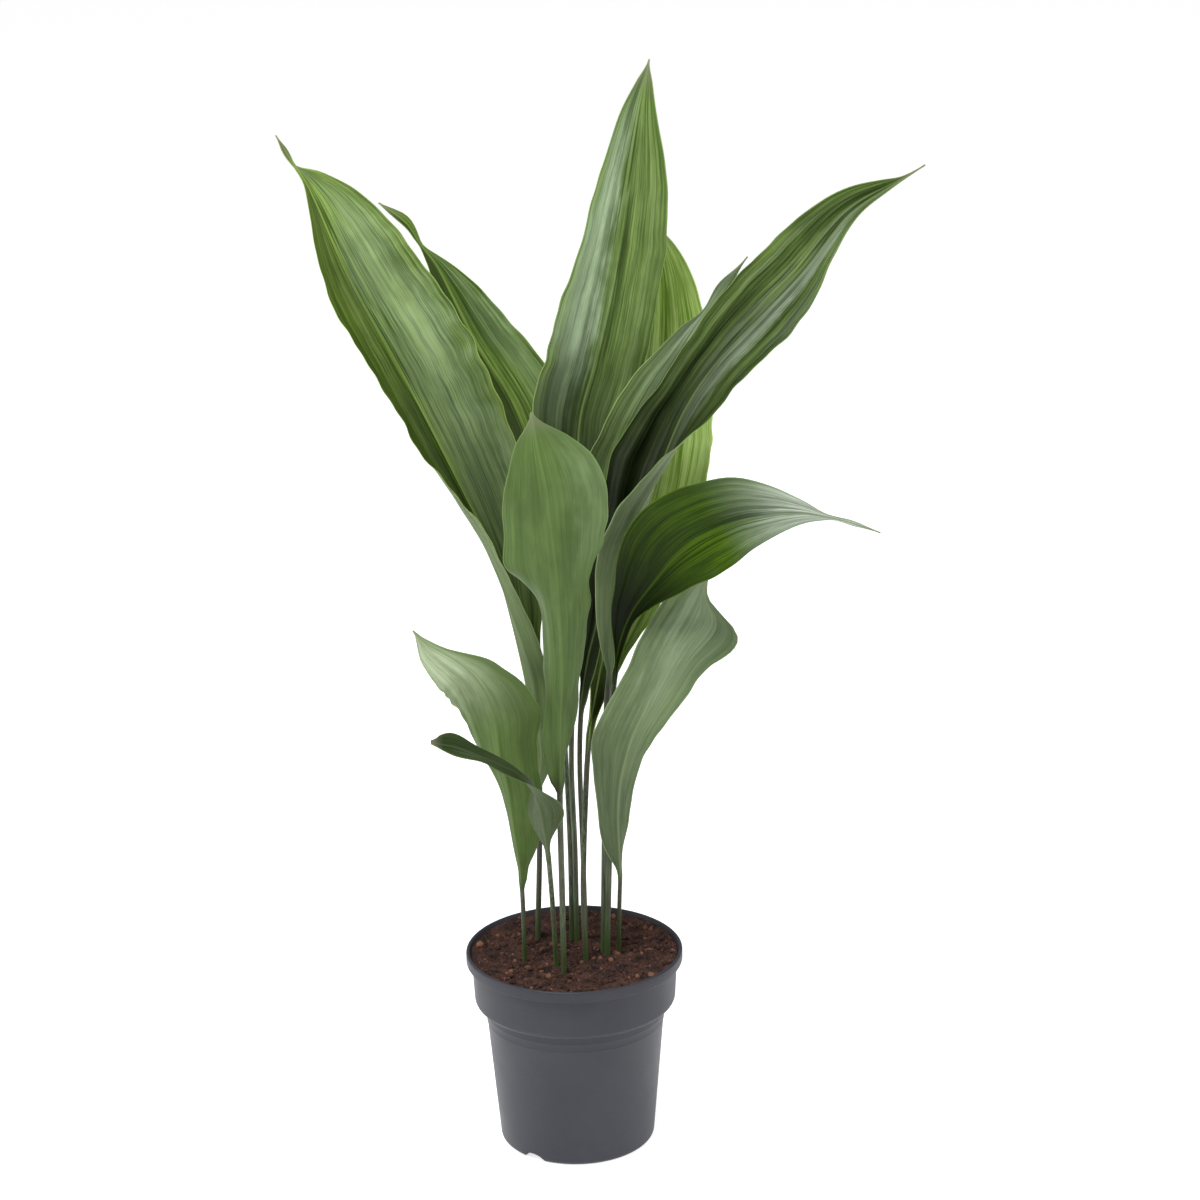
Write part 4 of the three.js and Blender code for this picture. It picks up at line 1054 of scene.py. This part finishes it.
def crumbly(x, y):
    """Small relief of loose peat at a point."""
    clumps = noise.fractal(Vector((x / CLUMP_SPAN, y / CLUMP_SPAN, 3)), 0.9, 2.0, 4)
    lumps = abs(noise.noise(Vector((x / LUMP_SPAN, y / LUMP_SPAN, 8))))
    return CLUMP_HEIGHT * clumps + LUMP_HEIGHT * lumps


def random_place(draw, inset):
    """A random point of the soil's surface, at least this far from its edge."""
    reach = (SOIL_RADIUS - inset) * math.sqrt(draw.random())
    turn = draw.uniform(0, 2 * math.pi)
    return reach * math.cos(turn), reach * math.sin(turn)


def add_soil(material):
    """The soil with a crumbly top, in place of its CAD solid."""
    rings = [(SOIL_RADIUS * k / SOIL_RINGS, SOIL_LEVEL) for k in range(SOIL_RINGS, -1, -1)]
    below = inside_outline(FIT_GAP) + [(flare_radius(FLARE_BOTTOM) - SOIL_WALL_GAP, FLARE_BOTTOM)]
    vertices, faces = turned(below + rings, SOIL_SECTORS)
    first_top = (len(below) - 1) * SOIL_SECTORS
    floor_middle = len(vertices) - 2
    for i in [*range(first_top, floor_middle), floor_middle + 1]:
        x, y, _ = vertices[i]
        inner = 1 - smoothstep(math.hypot(x, y), SOIL_RADIUS - SMOOTH_EDGE, SOIL_RADIUS)
        vertices[i, 2] = soil_height(x, y) + inner * crumbly(x, y)
    soil = add_piece("soil_finished", vertices, faces, [material], "soil", None, "soil")
    tints = [noise.noise(Vector(vertex / TINT_SPAN)) for vertex in vertices]
    add_attribute(soil, "tint", np.clip(tints, 0, 1))


def ball(subdivisions):
    """Points and faces of a ball of radius 1."""
    made = bmesh.new()
    bmesh.ops.create_icosphere(made, subdivisions=subdivisions, radius=1)
    points = np.array([vertex.co[:] for vertex in made.verts])
    faces = [[vertex.index for vertex in face.verts] for face in made.faces]
    made.free()
    return points, faces


def crumb(draw, points, size, x, y):
    """A ball's points as a rough crumb that lies on the soil."""
    rough = np.array([noise.noise(Vector(p) * 1.4 + Vector(draw.uniform(-9, 9, 3))) for p in points])
    tilt = Matrix.Rotation(draw.uniform(0, 6.28), 3, Vector(draw.normal(size=3)))
    lump = points * (1 + CRUMB_ROUGHNESS * rough)[:, None] * draw.uniform(0.6, 1.25, 3) * size
    return lump @ np.array(tilt) + [x, y, soil_height(x, y) + crumbly(x, y) + CRUMB_RISE * size]


def add_crumbs(material):
    """Loose crumbs, as one piece."""
    draw = np.random.default_rng(CRUMB_SEED)
    plain_ball, fine_ball = ball(1), ball(2)
    vertices, faces, tints = [], [], []
    start = 0
    for _ in range(CRUMB_COUNT):
        size = CRUMB_LEAST + CRUMB_RANGE * draw.random() ** 4
        points, ball_faces = fine_ball if size > CRUMB_FINE_FROM else plain_ball
        x, y = random_place(draw, size + 1)
        vertices.append(crumb(draw, points, size, x, y))
        faces += [[start + i for i in face] for face in ball_faces]
        tints.append(np.full(len(points), draw.random() ** 2))
        start += len(points)
    piece = add_piece("soil_crumbs", np.concatenate(vertices), faces, [material], "soil")
    add_attribute(piece, "tint", np.concatenate(tints))


def fibre_path(draw, x, y):
    """The bent middle line of a fibre from a point of the soil on, and its radius."""
    heading, curl = draw.uniform(0, 6.28), draw.uniform(-FIBRE_CURL, FIBRE_CURL)
    length, radius = draw.uniform(*FIBRE_LENGTHS), draw.uniform(*FIBRE_RADII)
    path = []
    for _ in range(FIBRE_STEPS):
        path.append((x, y, soil_height(x, y) + crumbly(x, y) + FIBRE_RISE))
        x += length / FIBRE_STEPS * math.cos(heading)
        y += length / FIBRE_STEPS * math.sin(heading)
        heading += curl
    path = np.array(path)
    path[:, 2] = np.convolve(np.pad(path[:, 2], 1, "edge"), [0.25, 0.5, 0.25], "valid")
    return path, radius


def fibre_rings(path, radius):
    """Points round a fibre, ring after ring, thinner to both ends."""
    ahead = unit(np.gradient(path, axis=0))
    across = unit(np.cross(ahead, [0, 0, 1]))
    rise = np.cross(across, ahead)
    thin = radius * (1 - 0.5 * abs(np.linspace(-1, 1, FIBRE_STEPS)))[:, None]
    rings = []
    for a in np.linspace(0, 2 * math.pi, FIBRE_SIDES, endpoint=False):
        rings.append(path + thin * (across * math.cos(a) + rise * math.sin(a)))
    return np.stack(rings, 1).reshape(-1, 3)


def fibre_faces(start):
    """Faces of a fibre whose first point has this number."""
    sides = range(FIBRE_SIDES)
    faces = []
    for i in range(FIBRE_STEPS - 1):
        a, b = start + i * FIBRE_SIDES, start + (i + 1) * FIBRE_SIDES
        for k in sides:
            n = (k + 1) % FIBRE_SIDES
            faces.append([a + k, b + k, b + n, a + n])
    faces.append([start + k for k in sides])
    faces.append([start + (FIBRE_STEPS - 1) * FIBRE_SIDES + k for k in sides][::-1])
    return faces


def add_fibres(material):
    """Short bent fibres, as one piece."""
    draw = np.random.default_rng(FIBRE_SEED)
    vertices, faces, tints = [], [], []
    for _ in range(FIBRE_COUNT):
        x, y = random_place(draw, FIBRE_INSET)
        path, radius = fibre_path(draw, x, y)
        faces += fibre_faces(len(vertices))
        vertices += list(fibre_rings(path, radius))
        tints += [draw.uniform(0.5, 1)] * (FIBRE_SIDES * FIBRE_STEPS)
    piece = add_piece("soil_fibres", np.array(vertices), faces, [material], "soil")
    add_attribute(piece, "tint", tints)


# Stage


def add_floor():
    side = FLOOR_HALF_SIDE
    corners = [(-side, -side, 0), (side, -side, 0), (side, side, 0), (-side, side, 0)]
    floor = add_piece("floor", np.array(corners), [(0, 1, 2, 3)], [floor_material()], None)


def add_light(name, place, side, power, colour):
    """A square soft box, in metres and watts."""
    lamp = bpy.data.lights.new(name, "AREA")
    lamp.shape = "SQUARE"
    lamp.size = side
    lamp.energy = power
    lamp.color = colour
    light = bpy.data.objects.new(name, lamp)
    light.location = place
    light.rotation_euler = (Vector(LIGHTS_AIM) - Vector(place)).to_track_quat("-Z", "Y").to_euler()
    bpy.context.scene.collection.objects.link(light)


def add_world():
    world = bpy.data.worlds.new("studio")
    world.use_nodes = True
    background = world.node_tree.nodes["Background"]
    background.inputs["Color"].default_value = (1, 1, 1, 1)
    background.inputs["Strength"].default_value = WORLD_STRENGTH
    bpy.context.scene.world = world


def add_camera():
    """The photograph's camera: a long lens, looking down."""
    lens = bpy.data.cameras.new("camera")
    lens.lens = CAMERA_LENS
    lens.sensor_width = CAMERA_SENSOR
    lens.clip_end = 100
    camera = bpy.data.objects.new("camera", lens)
    down, roll = math.radians(CAMERA_DOWN), math.radians(CAMERA_ROLL)
    turn = Matrix.Rotation(math.pi / 2 - down, 4, "X") @ Matrix.Rotation(roll, 4, "Z")
    camera.matrix_world = Matrix.Translation(CAMERA_PLACE) @ turn
    bpy.context.scene.collection.objects.link(camera)
    bpy.context.scene.camera = camera


stalk = stalk_material()
for leaf in LEAVES:
    add_leaf(leaf, stalk)
add_pot()
peat = soil_material()
add_soil(peat)
add_crumbs(peat)
add_fibres(peat)
add_floor()
add_world()
for name, settings in SOFT_BOXES.items():
    add_light(name, *settings)
add_camera()
bpy.context.scene.view_settings.view_transform = "Standard"
